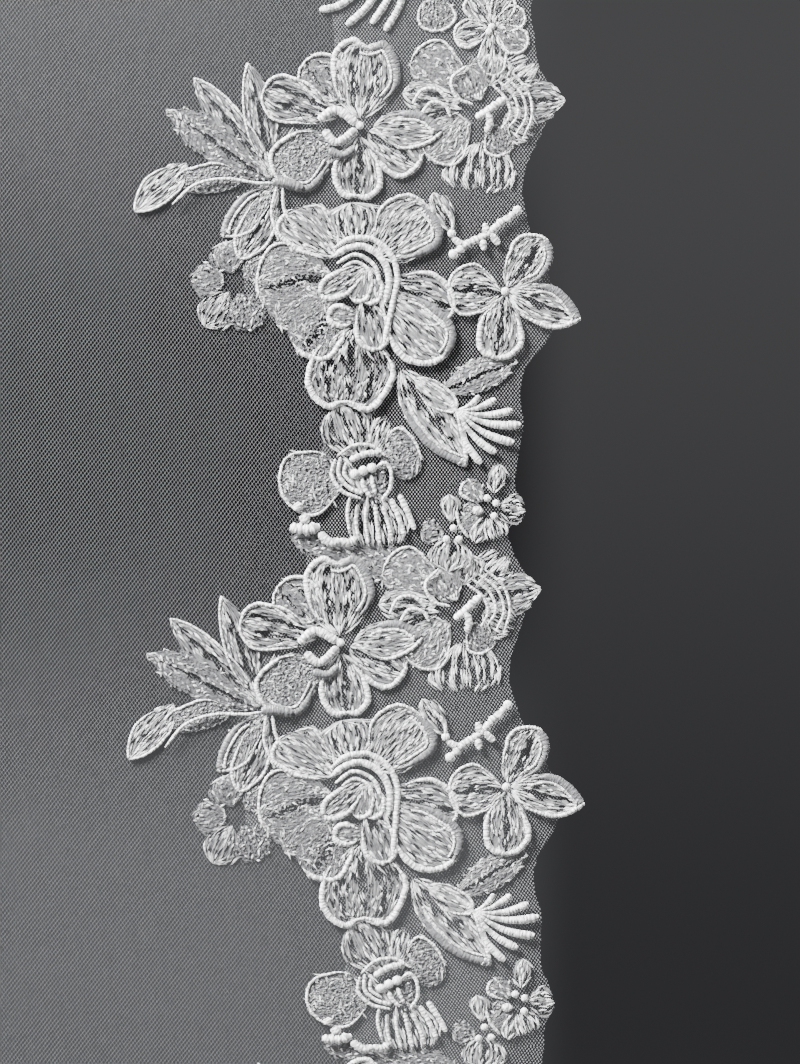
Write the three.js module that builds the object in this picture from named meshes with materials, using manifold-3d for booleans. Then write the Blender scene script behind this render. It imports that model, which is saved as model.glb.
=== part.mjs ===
// Bridal veil: one tier of tulle gathered on a hair comb, with lace pieces sewn along its free edge.
// Millimetres, +Z up. The origin is the middle of the comb's bar, and the open front faces -Y.

import * as THREE from 'three';
import { mergeVertices } from 'three/addons/utils/BufferGeometryUtils.js';
import Module from 'manifold-3d';

const wasm = await Module();
wasm.setup();

// The flat cut of the tulle
const cutWidth = 1372;
const cutLength = 1049;
const cornerRadius = 320;

// How it hangs: the back is part of a circle in plan, and each front runs on flat from it, flaring outwards
const frontWidth = 190;
const flareAngle = THREE.MathUtils.degToRad(20);
const backRadius = 239;
const backCentreY = -53;
const spreadLength = 430;
const spreadPower = 1.4;
const commonReach = 215;
const humpHeight = 9;
const humpLength = 6;
const standOff = 14;
const standOffLength = 10;
const dropStep = 5;
const foldPower = 1.5;

// Walls and gaps
const netThickness = 1;
const laceThickness = 1.3;
const gap = 0.3;
const weldDistance = 0.004;
const cutMargin = 1;
const onCutDistance = 0.002;

// The comb
const barLength = 90;
const barDepth = 4;
const barHeight = 3;
const barCorner = 1;
const toothCount = 18;
const toothLength = 38;
const toothWidth = 1.7;
const toothRoot = 2.4;
const toothTip = 0.9;
const toothBow = 5;
const gatherHalfWidth = 43;
const seatHeight = barHeight / 2 + 2 * gap;

// The folds of the back, from left to right: how much of the flat width each takes, and its depth at the hem
const folds = [
  { width: 112, depth: 15 },
  { width: 98, depth: 22 },
  { width: 118, depth: 19 },
  { width: 106, depth: 24 },
  { width: 122, depth: 20 },
  { width: 104, depth: 23 },
  { width: 114, depth: 18 },
  { width: 100, depth: 22 },
  { width: 118, depth: 16 },
];
const columnsPerFold = 6;
const frontColumns = 2;
const smallGatherDepth = 7;
const rowShares = [0, 0.005, 0.025, 0.06, 0.12, 0.2, 0.28, 0.36, 0.45, 0.62, 0.77, 0.885, 1];

// The lace: one repeat after another along the free edge, starting below the gathers on the left
const laceStart = 284.5;
const laceRepeat = 154.5;
const laceCount = 17;
const ringWidth = 24;
const turnCentreDepth = 48;

// How each lace piece of the left half lies, from the top: turned in degrees, and flipped end for end or not
const laceLays = [
  { turn: 5, flip: true },
  { turn: 0, flip: false },
  { turn: 7.5, flip: false },
  { turn: -4, flip: false },
  { turn: 3, flip: false },
  { turn: 6, flip: false },
  { turn: -2, flip: false },
  { turn: 4, flip: false },
  { turn: 0, flip: false },
];

// Flowers of one repeat: place along the edge and in from it, radius, petals, turn in degrees, depth of the
// notches between petals, and how broad a petal's end is as a share of its step
const flowers = [
  { along: -44, inward: 50, radius: 27, petals: 5, turn: -92, notch: 0.7, broad: 0.24 },
  { along: -55, inward: 11, radius: 24, petals: 5, turn: 175, notch: 0.72, broad: 0 },
  { along: 4, inward: 49, radius: 35, petals: 5, turn: 0, notch: 0.82, broad: 0 },
  { along: 3, inward: 84, radius: 18, petals: 4, turn: 20, notch: 0.72, broad: 0 },
  { along: 6, inward: 4, radius: 21, petals: 4, turn: 20, notch: 0.52, broad: 0 },
  { along: 58, inward: 47, radius: 23, petals: 4, turn: -4, notch: 0.7, broad: 0 },
  { along: 65, inward: 10, radius: 12, petals: 4, turn: 40, notch: 0.7, broad: 0 },
  { along: 70, inward: 24, radius: 11, petals: 3, turn: 65, notch: 0.75, broad: 0 },
];

// Leaves and frond of one repeat: from a root to a tip, with the widest width between
const leaves = [
  { along: -24, inward: 68, toAlong: -62, toInward: 86, width: 13 },
  { along: -24, inward: 68, toAlong: -56, toInward: 101, width: 12 },
  { along: -24, inward: 68, toAlong: -45, toInward: 109, width: 11 },
  { along: -24, inward: 66, toAlong: -18, toInward: 115, width: 12 },
  { along: 24, inward: 38, toAlong: 59, toInward: 17, width: 15 },
  { along: 36, inward: 32, toAlong: 28, toInward: 1, width: 12 },
  { along: 42, inward: 24, toAlong: 47, toInward: -2, width: 15 },
];

// Sums over the tables

const halfCut = cutWidth / 2;
const sideLength = cutLength - cornerRadius;
const cornerCentre = halfCut - cornerRadius;
const cornerArc = cornerRadius * Math.PI / 2;
const foldedHalf = halfCut - frontWidth;
const backHalfAngle = Math.PI / 2 - flareAngle;
const backArc = 2 * backRadius * backHalfAngle;
const halfEdge = sideLength - laceStart + cornerArc + cornerCentre;

// The flat cut

function bottomOfCut(u) {
  const past = Math.max(0, Math.abs(u) - cornerCentre);
  return sideLength + Math.sqrt(Math.max(0, cornerRadius ** 2 - past ** 2));
}

function sideOfCut(v) {
  const past = Math.max(0, v - sideLength);
  return cornerCentre + Math.sqrt(Math.max(0, cornerRadius ** 2 - past ** 2));
}

// A point of the free edge, by its distance from the top of the lace, moved inwards across the cloth
function edgePoint(distance, inward) {
  if (distance > halfEdge) {
    const mirrored = edgePoint(2 * halfEdge - distance, inward);
    return new THREE.Vector2(-mirrored.x, mirrored.y);
  }
  const straight = sideLength - laceStart;
  if (distance < straight) {
    return new THREE.Vector2(inward - halfCut, laceStart + distance);
  }
  const angle = Math.min((distance - straight) / cornerRadius, Math.PI / 2);
  const radius = cornerRadius - inward;
  const alongHem = Math.max(0, distance - straight - cornerArc);
  return new THREE.Vector2(
    alongHem - cornerCentre - radius * Math.cos(angle),
    sideLength + radius * Math.sin(angle),
  );
}

// The drape

function spread(v) {
  return 1 - (1 - Math.min(1, v / spreadLength)) ** spreadPower;
}

function spreadRate(v) {
  const left = 1 - Math.min(1, v / spreadLength);
  return (spreadPower / spreadLength) * left ** (spreadPower - 1);
}

// The plan of the hanging cloth: a point and the outward direction there
function hangPlan(u) {
  const side = Math.sign(u);
  const inBack = Math.min(Math.abs(u), foldedHalf);
  const inFront = Math.abs(u) - inBack;
  const angle = backHalfAngle * inBack / foldedHalf;
  return {
    x: side * (backRadius * Math.sin(angle) + inFront * Math.sin(flareAngle)),
    y: backCentreY + backRadius * Math.cos(angle) - inFront * Math.cos(flareAngle),
    outX: side * Math.sin(angle),
    outY: Math.cos(angle),
  };
}

// Where u lies among the folds: the phase of the wave and the depth there
function foldAt(u) {
  let start = -foldedHalf;
  for (let i = 0; i < folds.length; i += 1) {
    const share = (u - start) / folds[i].width;
    if (share <= 1 || i === folds.length - 1) {
      const other = share < 0.5 ? i - 1 : i + 1;
      const beside = folds[other] ? folds[other].depth : 0;
      const weight = 0.5 - 0.5 * Math.cos(Math.PI * Math.abs(share - 0.5));
      return { phase: 2 * Math.PI * share, depth: THREE.MathUtils.lerp(folds[i].depth, beside, weight) };
    }
    start += folds[i].width;
  }
}

function foldOffset(u, v) {
  if (Math.abs(u) >= foldedHalf) {
    return 0;
  }
  const gatherArc = 2 * gatherHalfWidth * foldedHalf / halfCut;
  const narrowing = THREE.MathUtils.lerp(gatherArc, backArc, spread(v)) / backArc;
  const { phase, depth } = foldAt(u);
  const main = depth * Math.sin(phase);
  const small = smallGatherDepth * (1 - spread(v)) * Math.sin(2 * phase);
  return narrowing ** foldPower * (main + small);
}

// How far the cloth has come down after the length v, the same all round so that the fronts hang unsheared
function dropOf(v) {
  const steps = Math.max(1, Math.ceil(Math.min(v, spreadLength) / dropStep));
  const step = Math.min(v, spreadLength) / steps;
  let drop = Math.max(0, v - spreadLength);
  for (let i = 0; i < steps; i += 1) {
    const outwards = commonReach * spreadRate((i + 0.5) * step);
    drop += step * Math.sqrt(1 - outwards ** 2);
  }
  return drop;
}

function drape(u, v) {
  const hang = hangPlan(u);
  const gatherX = gatherHalfWidth * u / halfCut;
  const share = spread(v);
  const offset = foldOffset(u, v);
  const hump = humpHeight * (1 - Math.exp(-v / humpLength));
  const behind = standOff * (1 - Math.exp(-v / standOffLength)) * (1 - share);
  return new THREE.Vector3(
    THREE.MathUtils.lerp(gatherX, hang.x, share) + offset * hang.outX,
    hang.y * share + behind + offset * hang.outY,
    seatHeight + hump - dropOf(v),
  );
}

// The net of points that the tulle and the lace share

function columnLines() {
  const lines = [];
  let start = -foldedHalf;
  for (const fold of folds) {
    for (let i = 0; i < columnsPerFold; i += 1) {
      lines.push({ u: start + fold.width * i / columnsPerFold, front: 0 });
    }
    start += fold.width;
  }
  lines.push({ u: foldedHalf, front: 0 });
  for (let i = 1; i <= frontColumns; i += 1) {
    lines.unshift({ u: -foldedHalf, front: i / frontColumns });
    lines.push({ u: foldedHalf, front: i / frontColumns });
  }
  return lines;
}

// A point of the cut: the columns of each front close up towards its rounded corner
function gridPoint(line, rowShare) {
  const cornerU = cornerCentre + cornerRadius * Math.SQRT1_2;
  const bottomU = THREE.MathUtils.lerp(Math.abs(line.u), cornerU, line.front);
  const v = rowShare * bottomOfCut(line.front > 0 ? bottomU : line.u);
  const u = THREE.MathUtils.lerp(Math.abs(line.u), sideOfCut(v), line.front);
  return new THREE.Vector2(Math.sign(line.u) * u, v);
}

function makeGrid() {
  const lines = columnLines();
  const flat = [];
  for (const share of rowShares) {
    for (const line of lines) {
      flat.push(gridPoint(line, share));
    }
  }
  const across = lines.length;
  const rows = rowShares.length;
  const quads = [];
  for (let row = 0; row + 1 < rows; row += 1) {
    for (let i = 0; i + 1 < across; i += 1) {
      const a = row * across + i;
      quads.push([a, a + 1, a + across + 1, a + across]);
    }
  }
  const rim = [];
  for (let row = 0; row < rows; row += 1) {
    rim.push(row * across);
  }
  for (let i = 1; i < across; i += 1) {
    rim.push((rows - 1) * across + i);
  }
  for (let row = rows - 2; row >= 0; row -= 1) {
    rim.push(row * across + across - 1);
  }
  const ring = addRing(flat, rim);
  const places = flat.map((point) => drape(point.x, point.y));
  const normals = pointNormals(places, quads);
  rim.forEach((point, i) => { normals[across * rows + i] = normals[point]; });
  return { flat, places, normals, quads, ring, rim, across };
}

// A ring of cells just past the free edge, for the lace that stands out over it
function addRing(flat, rim) {
  const ring = [];
  let before = null;
  rim.forEach((point, i) => {
    const previous = flat[rim[Math.max(0, i - 1)]];
    const next = flat[rim[Math.min(rim.length - 1, i + 1)]];
    const along = next.clone().sub(previous).normalize();
    const outer = flat.length;
    flat.push(flat[point].clone().add(new THREE.Vector2(-along.y, along.x).multiplyScalar(ringWidth)));
    if (before) {
      ring.push([before.outer, before.point, point], [outer, before.outer, point]);
    }
    before = { point, outer };
  });
  return ring;
}

// The outward direction at each point, as the mean over the cells that meet there
function pointNormals(places, quads) {
  const normals = places.map(() => new THREE.Vector3());
  for (const quad of quads) {
    const [a, b, c, d] = quad.map((corner) => places[corner]);
    const face = c.clone().sub(a).cross(d.clone().sub(b)).normalize();
    quad.forEach((corner) => normals[corner].add(face));
  }
  return normals.map((normal) => normal.normalize());
}

function trianglesOf(quad) {
  const [a, b, c, d] = quad;
  return [[a, b, c], [a, c, d]];
}

// Flat cells stay whole, and a twisted cell is parted into its two triangles
function cellsOf(grid) {
  return grid.quads.flatMap((quad) => {
    const shares = sharesIn(grid.flat[quad[3]], quad.map((corner) => grid.flat[corner]));
    const place = new THREE.Vector3();
    const normal = new THREE.Vector3();
    shares.forEach((share, i) => {
      place.addScaledVector(grid.places[quad[i]], share);
      normal.addScaledVector(grid.normals[quad[i]], share);
    });
    const twist = place.distanceTo(grid.places[quad[3]]) + normal.distanceTo(grid.normals[quad[3]]);
    return twist < weldDistance / 4 ? [quad] : trianglesOf(quad);
  });
}

// Meshes and solids

// Corners nearer to each other than the weld distance become one
function weld(positions) {
  const cells = new Map();
  const points = [];
  const index = [];
  const near = [-1, 0, 1];
  for (let at = 0; at < positions.length; at += 3) {
    const point = positions.slice(at, at + 3);
    const [x, y, z] = point.map((value) => Math.round(value / weldDistance));
    let found = -1;
    near.forEach((i) => near.forEach((j) => near.forEach((k) => {
      const other = cells.get(`${x + i},${y + j},${z + k}`);
      if (other !== undefined && found < 0) {
        found = other;
      }
    })));
    if (found < 0) {
      found = points.length / 3;
      points.push(...point);
      cells.set(`${x},${y},${z}`, found);
    }
    index.push(found);
  }
  return { points, index };
}

// Where a side of one face meets two shorter sides in line with it, the face is parted at their corner
function joinSeams(faces, points) {
  const owners = new Map();
  faces.forEach((face, number) => face.forEach((from, i) => {
    owners.set(`${from},${face[(i + 1) % 3]}`, number);
  }));
  const place = (corner) => new THREE.Vector3().fromArray(points, 3 * corner);
  const length = (from, to) => place(from).distanceTo(place(to));
  const open = [...owners.keys()].map((key) => key.split(',').map(Number))
    .filter(([from, to]) => !owners.has(`${to},${from}`));
  const joined = [...faces];
  for (const [from, to] of open) {
    for (const [start, middle] of open) {
      const meets = start === to && open.some((side) => side[0] === middle && side[1] === from);
      if (meets && length(from, to) > Math.max(length(to, middle), length(middle, from))) {
        const number = owners.get(`${from},${to}`);
        const third = faces[number].find((corner) => corner !== from && corner !== to);
        joined[number] = [from, middle, third];
        joined.push([middle, to, third]);
      }
    }
  }
  return joined;
}

function meshOf(name, positions, material) {
  const { points, index } = weld(positions);
  const faces = [];
  for (let i = 0; i < index.length; i += 3) {
    const [a, b, c] = index.slice(i, i + 3);
    if (a !== b && b !== c && c !== a) {
      faces.push([a, b, c]);
    }
  }
  const geometry = new THREE.BufferGeometry();
  geometry.setAttribute('position', new THREE.Float32BufferAttribute(points, 3));
  geometry.setIndex(joinSeams(faces, points).flat());
  geometry.computeVertexNormals();
  const mesh = new THREE.Mesh(geometry, material);
  mesh.name = name;
  return mesh;
}

function solidOf(geometry) {
  const bare = geometry.index ? geometry.toNonIndexed() : geometry.clone();
  bare.deleteAttribute('normal');
  bare.deleteAttribute('uv');
  const merged = mergeVertices(bare);
  return new wasm.Manifold(new wasm.Mesh({
    numProp: 3,
    vertProperties: Float32Array.from(merged.getAttribute('position').array),
    triVerts: Uint32Array.from(merged.getIndex().array),
  }));
}

function slab(points, low, high) {
  const geometry = new THREE.ExtrudeGeometry(new THREE.Shape(points), {
    depth: high - low,
    bevelEnabled: false,
  });
  geometry.translate(0, 0, low);
  return geometry;
}

function cornersOf(solid) {
  const mesh = solid.getMesh();
  const corners = [];
  for (const vertex of mesh.triVerts) {
    const at = vertex * mesh.numProp;
    corners.push(new THREE.Vector3(...mesh.vertProperties.subarray(at, at + 3)));
  }
  return corners;
}

// Tulle

function makeTulle(grid) {
  const positions = [];
  const moved = (point, side) => grid.places[point].clone()
    .addScaledVector(grid.normals[point], side * netThickness / 2);
  const put = (...points) => points.forEach((point) => positions.push(...point.toArray()));
  for (const [a, b, c] of grid.quads.flatMap(trianglesOf)) {
    put(moved(a, 1), moved(b, 1), moved(c, 1));
    put(moved(a, -1), moved(c, -1), moved(b, -1));
  }
  const top = [];
  for (let i = grid.across - 2; i > 0; i -= 1) {
    top.push(i);
  }
  const loop = [...grid.rim, ...top];
  loop.forEach((point, i) => {
    const next = loop[(i + 1) % loop.length];
    put(moved(point, 1), moved(next, 1), moved(next, -1));
    put(moved(point, 1), moved(next, -1), moved(point, -1));
  });
  return meshOf('tulle', positions, new THREE.MeshStandardMaterial({
    color: 0xe8eaec, roughness: 0.6, metalness: 0,
  }));
}

// Lace

function flowerOutline(flower) {
  const points = [];
  const step = 2 * Math.PI / flower.petals;
  for (let i = 0; i < flower.petals; i += 1) {
    const middle = THREE.MathUtils.degToRad(flower.turn) + i * step;
    const ends = flower.broad > 0 ? [[-flower.broad, 1], [flower.broad, 1]] : [[0, 1]];
    for (const [share, reach] of [...ends, [0.5, flower.notch]]) {
      const angle = middle + share * step;
      points.push({
        along: flower.along + flower.radius * reach * Math.cos(angle),
        inward: flower.inward + flower.radius * reach * Math.sin(angle),
      });
    }
  }
  return points;
}

function leafOutline(leaf) {
  const run = new THREE.Vector2(leaf.toAlong - leaf.along, leaf.toInward - leaf.inward);
  const across = new THREE.Vector2(-run.y, run.x).normalize();
  const shape = [
    { share: 0, side: 0 },
    { share: 0.55, side: 0.5 },
    { share: 1, side: 0 },
    { share: 0.55, side: -0.5 },
  ];
  return shape.map(({ share, side }) => ({
    along: leaf.along + share * run.x + side * leaf.width * across.x,
    inward: leaf.inward + share * run.y + side * leaf.width * across.y,
  }));
}

// The flat solid of one lace piece, lying in the cut's own plane
function lacePlate(middle, lay, mirrored) {
  const turn = THREE.MathUtils.degToRad(lay.turn);
  const half = laceRepeat / 2 - gap / 2;
  const toCut = (along, inward) => {
    const point = edgePoint(middle + along, inward);
    return mirrored ? new THREE.Vector2(-point.x, point.y) : point;
  };
  const place = ({ along, inward }) => {
    const down = lay.flip ? -along : along;
    const deep = inward - turnCentreDepth;
    return toCut(
      down * Math.cos(turn) + deep * Math.sin(turn),
      turnCentreDepth - down * Math.sin(turn) + deep * Math.cos(turn),
    );
  };
  const outlines = [...flowers.map(flowerOutline), ...leaves.map(leafOutline)];
  let plate = null;
  for (const outline of outlines) {
    const solid = solidOf(slab(outline.map(place), 0, laceThickness));
    plate = plate ? plate.add(solid) : solid;
  }
  const stretch = [
    toCut(-half, -ringWidth), toCut(0, -ringWidth), toCut(half, -ringWidth),
    toCut(half, laceRepeat), toCut(0, laceRepeat), toCut(-half, laceRepeat),
  ];
  return plate.intersect(solidOf(slab(stretch, -cutMargin, laceThickness + cutMargin)));
}

// A plate is cut along the grid's cells, and each cut piece is carried to its cell on the hanging cloth
function layOnCloth(plate, grid) {
  const box = plate.boundingBox();
  const lift = netThickness / 2 + gap;
  const positions = [];
  for (const cell of [...cellsOf(grid), ...grid.ring]) {
    const flat = cell.map((corner) => grid.flat[corner]);
    const across = flat.map((point) => point.x);
    const down = flat.map((point) => point.y);
    const outside = Math.max(...across) < box.min[0] || Math.min(...across) > box.max[0]
      || Math.max(...down) < box.min[1] || Math.min(...down) > box.max[1];
    if (outside) {
      continue;
    }
    const cutter = solidOf(slab(flat, -cutMargin, laceThickness + cutMargin));
    const corners = cornersOf(plate.intersect(cutter));
    for (let i = 0; i < corners.length; i += 3) {
      const face = corners.slice(i, i + 3);
      if (!liesOnCut(face, flat)) {
        face.forEach((corner) => positions.push(...carry(corner, cell, grid, lift).toArray()));
      }
    }
  }
  return positions;
}

function sharesIn(corner, flat) {
  const [a, b, c] = flat;
  const whole = (b.x - a.x) * (c.y - a.y) - (c.x - a.x) * (b.y - a.y);
  const second = ((corner.x - a.x) * (c.y - a.y) - (c.x - a.x) * (corner.y - a.y)) / whole;
  const third = ((b.x - a.x) * (corner.y - a.y) - (corner.x - a.x) * (b.y - a.y)) / whole;
  return [1 - second - third, second, third];
}

// True for a face that stands on one of the cell's sides, where the next cell's piece joins on
function liesOnCut(face, flat) {
  const level = face.every((corner) => Math.abs(corner.z - face[0].z) < onCutDistance);
  if (level) {
    return false;
  }
  return flat.some((start, i) => {
    const run = flat[(i + 1) % flat.length].clone().sub(start);
    const length = run.length();
    return face.every((corner) => Math.abs(
      (corner.x - start.x) * run.y - (corner.y - start.y) * run.x,
    ) / length < onCutDistance);
  });
}

function carry(corner, cell, grid, lift) {
  const shares = sharesIn(corner, cell.map((point) => grid.flat[point]));
  const place = new THREE.Vector3();
  shares.forEach((share, i) => {
    place.addScaledVector(grid.places[cell[i]], share);
    place.addScaledVector(grid.normals[cell[i]], share * (lift + corner.z));
  });
  return place;
}

function makeLace(grid) {
  const pieces = [];
  const halfCount = (laceCount + 1) / 2;
  for (let number = 1; number <= laceCount; number += 1) {
    const mirrored = number > halfCount;
    const order = mirrored ? laceCount + 1 - number : number;
    const plate = lacePlate((order - 0.5) * laceRepeat, laceLays[order - 1], mirrored);
    const name = `lace_${String(number).padStart(2, '0')}`;
    pieces.push(meshOf(name, layOnCloth(plate, grid), new THREE.MeshStandardMaterial({
      color: 0xf4f4f6, roughness: 0.45, metalness: 0,
    })));
  }
  return pieces;
}

// Comb

function barSolid() {
  const section = new THREE.Shape();
  const y = barDepth / 2;
  const z = barHeight / 2;
  section.moveTo(-y + barCorner, -z);
  section.lineTo(y - barCorner, -z);
  section.lineTo(y, -z + barCorner);
  section.lineTo(y, z - barCorner);
  section.lineTo(y - barCorner, z);
  section.lineTo(-y + barCorner, z);
  section.lineTo(-y, z - barCorner);
  section.lineTo(-y, -z + barCorner);
  const geometry = new THREE.ExtrudeGeometry(section, { depth: barLength, bevelEnabled: false });
  geometry.translate(0, 0, -barLength / 2);
  geometry.rotateX(Math.PI / 2);
  geometry.rotateZ(Math.PI / 2);
  return solidOf(geometry);
}

// One tooth seen from the side: it narrows to its tip and bows outwards, as the back of a head does
function toothSolid(x) {
  const steps = 3;
  const front = [];
  const back = [];
  for (let i = 0; i <= steps; i += 1) {
    const share = i / steps;
    const middle = toothBow * Math.sin(share * Math.PI / 2);
    const half = THREE.MathUtils.lerp(toothRoot, toothTip, share) / 2;
    front.push(new THREE.Vector2(middle - half, -share * toothLength));
    back.unshift(new THREE.Vector2(middle + half, -share * toothLength));
  }
  const geometry = slab([...front, ...back], -toothWidth / 2, toothWidth / 2);
  geometry.rotateX(Math.PI / 2);
  geometry.rotateZ(Math.PI / 2);
  geometry.translate(x, 0, 0);
  return solidOf(geometry);
}

function makeComb() {
  const pitch = (barLength - 2 * toothWidth - 2) / (toothCount - 1);
  let comb = barSolid();
  for (let i = 0; i < toothCount; i += 1) {
    comb = comb.add(toothSolid((i - (toothCount - 1) / 2) * pitch));
  }
  const positions = cornersOf(comb).flatMap((corner) => corner.toArray());
  return meshOf('comb', positions, new THREE.MeshStandardMaterial({
    color: 0xdfe3e6, roughness: 0.2, metalness: 0,
  }));
}

const grid = makeGrid();
const veil = new THREE.Group();
veil.add(makeComb(), makeTulle(grid), ...makeLace(grid));

export default veil;
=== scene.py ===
"""Bridal veil on a hair comb: gathered tulle with flower lace along its free edge.

The cloth is worked out in millimetres on its flat cut, where u runs across from the middle of the back
and v down from the gathered edge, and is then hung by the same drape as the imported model. A lace piece is
worked out on a flat plane of its own: right is the distance past the net's edge, down the distance below
its middle.
"""

import math
from collections import namedtuple

import bpy
import numpy as np
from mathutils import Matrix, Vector


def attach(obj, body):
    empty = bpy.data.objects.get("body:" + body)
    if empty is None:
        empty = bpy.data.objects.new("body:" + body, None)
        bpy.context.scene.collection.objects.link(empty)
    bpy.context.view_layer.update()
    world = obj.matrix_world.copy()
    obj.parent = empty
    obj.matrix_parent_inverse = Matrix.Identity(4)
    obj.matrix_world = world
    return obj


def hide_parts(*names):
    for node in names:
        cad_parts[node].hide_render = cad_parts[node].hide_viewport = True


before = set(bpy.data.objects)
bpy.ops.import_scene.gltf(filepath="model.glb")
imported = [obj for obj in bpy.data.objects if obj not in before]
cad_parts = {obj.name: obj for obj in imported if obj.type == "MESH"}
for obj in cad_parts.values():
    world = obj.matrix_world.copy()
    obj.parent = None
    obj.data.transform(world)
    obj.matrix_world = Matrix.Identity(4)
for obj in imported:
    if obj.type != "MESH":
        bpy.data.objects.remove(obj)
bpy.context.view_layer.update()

MM = 0.001

# The flat cut of the tulle
CUT_WIDTH = 1372.0
CUT_LENGTH = 1049.0
CORNER_RADIUS = 320.0
HALF_CUT = CUT_WIDTH / 2
SIDE_LENGTH = CUT_LENGTH - CORNER_RADIUS
CORNER_CENTRE = HALF_CUT - CORNER_RADIUS
CORNER_ARC = CORNER_RADIUS * math.pi / 2

# How it hangs
FRONT_WIDTH = 190.0
FLARE = math.radians(20)
BACK_RADIUS = 239.0
BACK_CENTRE_Y = -53.0
SPREAD_LENGTH = 430.0
SPREAD_POWER = 1.4
COMMON_REACH = 215.0
HUMP_HEIGHT = 9.0
HUMP_LENGTH = 6.0
STAND_OFF = 14.0
STAND_OFF_LENGTH = 10.0
FOLD_POWER = 1.5
SMALL_GATHER_DEPTH = 7.0
GATHER_HALF_WIDTH = 43.0
SEAT_HEIGHT = 2.1
FOLDED_HALF = HALF_CUT - FRONT_WIDTH
BACK_HALF_ANGLE = math.pi / 2 - FLARE
BACK_ARC = 2 * BACK_RADIUS * BACK_HALF_ANGLE

# The folds of the back from left to right
FOLD_WIDTHS = np.array([112.0, 98.0, 118.0, 106.0, 122.0, 104.0, 114.0, 100.0, 118.0])
FOLD_DEPTHS = np.array([15.0, 22.0, 19.0, 24.0, 20.0, 23.0, 18.0, 22.0, 16.0])
FOLD_STARTS = -FOLDED_HALF + np.concatenate([[0.0], np.cumsum(FOLD_WIDTHS)[:-1]])

# Fine pleats at the gathered edge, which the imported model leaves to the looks
PLEAT_WIDTH = 34.0
PLEAT_DEPTH = 3.4
PLEAT_FADE = 2.4
PLEAT_START = 0.3
PLEAT_GROWTH = 14.0
# Each drift of the pleats: its size as a phase, and its length
PLEAT_DRIFTS = ((1.3, 71.0), (0.8, 29.0))

# The lace along the free edge
LACE_START = 284.5
LACE_REPEAT = 154.5
LACE_COUNT = 17
TURN_CENTRE = 48.0
HALF_EDGE = SIDE_LENGTH - LACE_START + CORNER_ARC + CORNER_CENTRE
LACE_LIFT = 0.25

# How each piece is laid, from the top: its turn in degrees, and whether it is the other way up
Lay = namedtuple("Lay", "turn flipped")
TURNS = (5, 0, 7.5, -4, 3, 6, -2, 4, 0)
LAYS = [Lay(turn, number == 0) for number, turn in enumerate(TURNS)]


# The drape


def spread(v):
    return 1 - (1 - np.clip(v / SPREAD_LENGTH, 0, 1)) ** SPREAD_POWER


def drop_table():
    """How far the cloth has come down after each millimetre of its length."""
    middles = np.arange(0, SPREAD_LENGTH) + 0.5
    steepest = COMMON_REACH * SPREAD_POWER / SPREAD_LENGTH
    outwards = steepest * (1 - middles / SPREAD_LENGTH) ** (SPREAD_POWER - 1)
    return np.concatenate([[0.0], np.cumsum(np.sqrt(1 - outwards**2))])


DROPS = drop_table()


def drop_of(v):
    return np.interp(v, np.arange(len(DROPS)), DROPS) + np.maximum(0, v - SPREAD_LENGTH)


def fold_offset(u, v):
    """How far a point stands out of the plan's line, through the large folds and the small gathers."""
    number = np.clip(np.searchsorted(FOLD_STARTS, u, side="right") - 1, 0, len(FOLD_WIDTHS) - 1)
    share = (u - FOLD_STARTS[number]) / FOLD_WIDTHS[number]
    padded = np.concatenate([[0.0], FOLD_DEPTHS, [0.0]])
    beside = np.where(share < 0.5, padded[number], padded[number + 2])
    weight = 0.5 - 0.5 * np.cos(np.pi * np.abs(share - 0.5))
    depth = FOLD_DEPTHS[number] * (1 - weight) + beside * weight
    phase = 2 * np.pi * share
    gathered = 1 - spread(v)
    gather_arc = 2 * GATHER_HALF_WIDTH * FOLDED_HALF / HALF_CUT
    narrowing = (gather_arc * gathered + BACK_ARC * (1 - gathered)) / BACK_ARC
    offset = depth * np.sin(phase) + SMALL_GATHER_DEPTH * gathered * np.sin(2 * phase)
    return np.where(np.abs(u) < FOLDED_HALF, narrowing**FOLD_POWER * offset, 0.0)


def pleat_offset(u, v):
    """How far a point stands out through the fine pleats."""
    grown = PLEAT_START + (1 - PLEAT_START) * (1 - np.exp(-v / PLEAT_GROWTH))
    phase = 2 * np.pi * u / PLEAT_WIDTH
    for size, length in PLEAT_DRIFTS:
        phase = phase + size * np.sin(u / length)
    return PLEAT_DEPTH * grown * (1 - spread(v)) ** PLEAT_FADE * np.sin(phase)


def drape(u, v):
    """The hung place, in millimetres, of a point of the flat cut."""
    side = np.sign(u)
    in_back = np.minimum(np.abs(u), FOLDED_HALF)
    in_front = np.abs(u) - in_back
    angle = BACK_HALF_ANGLE * in_back / FOLDED_HALF
    hang_x = side * (BACK_RADIUS * np.sin(angle) + in_front * math.sin(FLARE))
    hang_y = BACK_CENTRE_Y + BACK_RADIUS * np.cos(angle) - in_front * math.cos(FLARE)
    share = spread(v)
    gather_x = GATHER_HALF_WIDTH * u / HALF_CUT
    offset = fold_offset(u, v) + pleat_offset(u, v)
    hump = HUMP_HEIGHT * (1 - np.exp(-v / HUMP_LENGTH))
    behind = STAND_OFF * (1 - np.exp(-v / STAND_OFF_LENGTH)) * (1 - share)
    x = gather_x * (1 - share) + hang_x * share + offset * side * np.sin(angle)
    y = hang_y * share + behind + offset * np.cos(angle)
    z = SEAT_HEIGHT + hump - drop_of(v)
    return np.stack([x, y, z], axis=-1)


def on_cloth(u, v, height, step=0.5):
    """Places in metres that stand out from the hung cloth by a height in millimetres."""
    across = drape(u + step, v) - drape(u - step, v)
    down = drape(u, v + step) - drape(u, v - step)
    outward = np.cross(across, down)
    outward /= np.linalg.norm(outward, axis=-1, keepdims=True)
    return (drape(u, v) + outward * np.asarray(height)[..., None]) * MM


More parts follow.
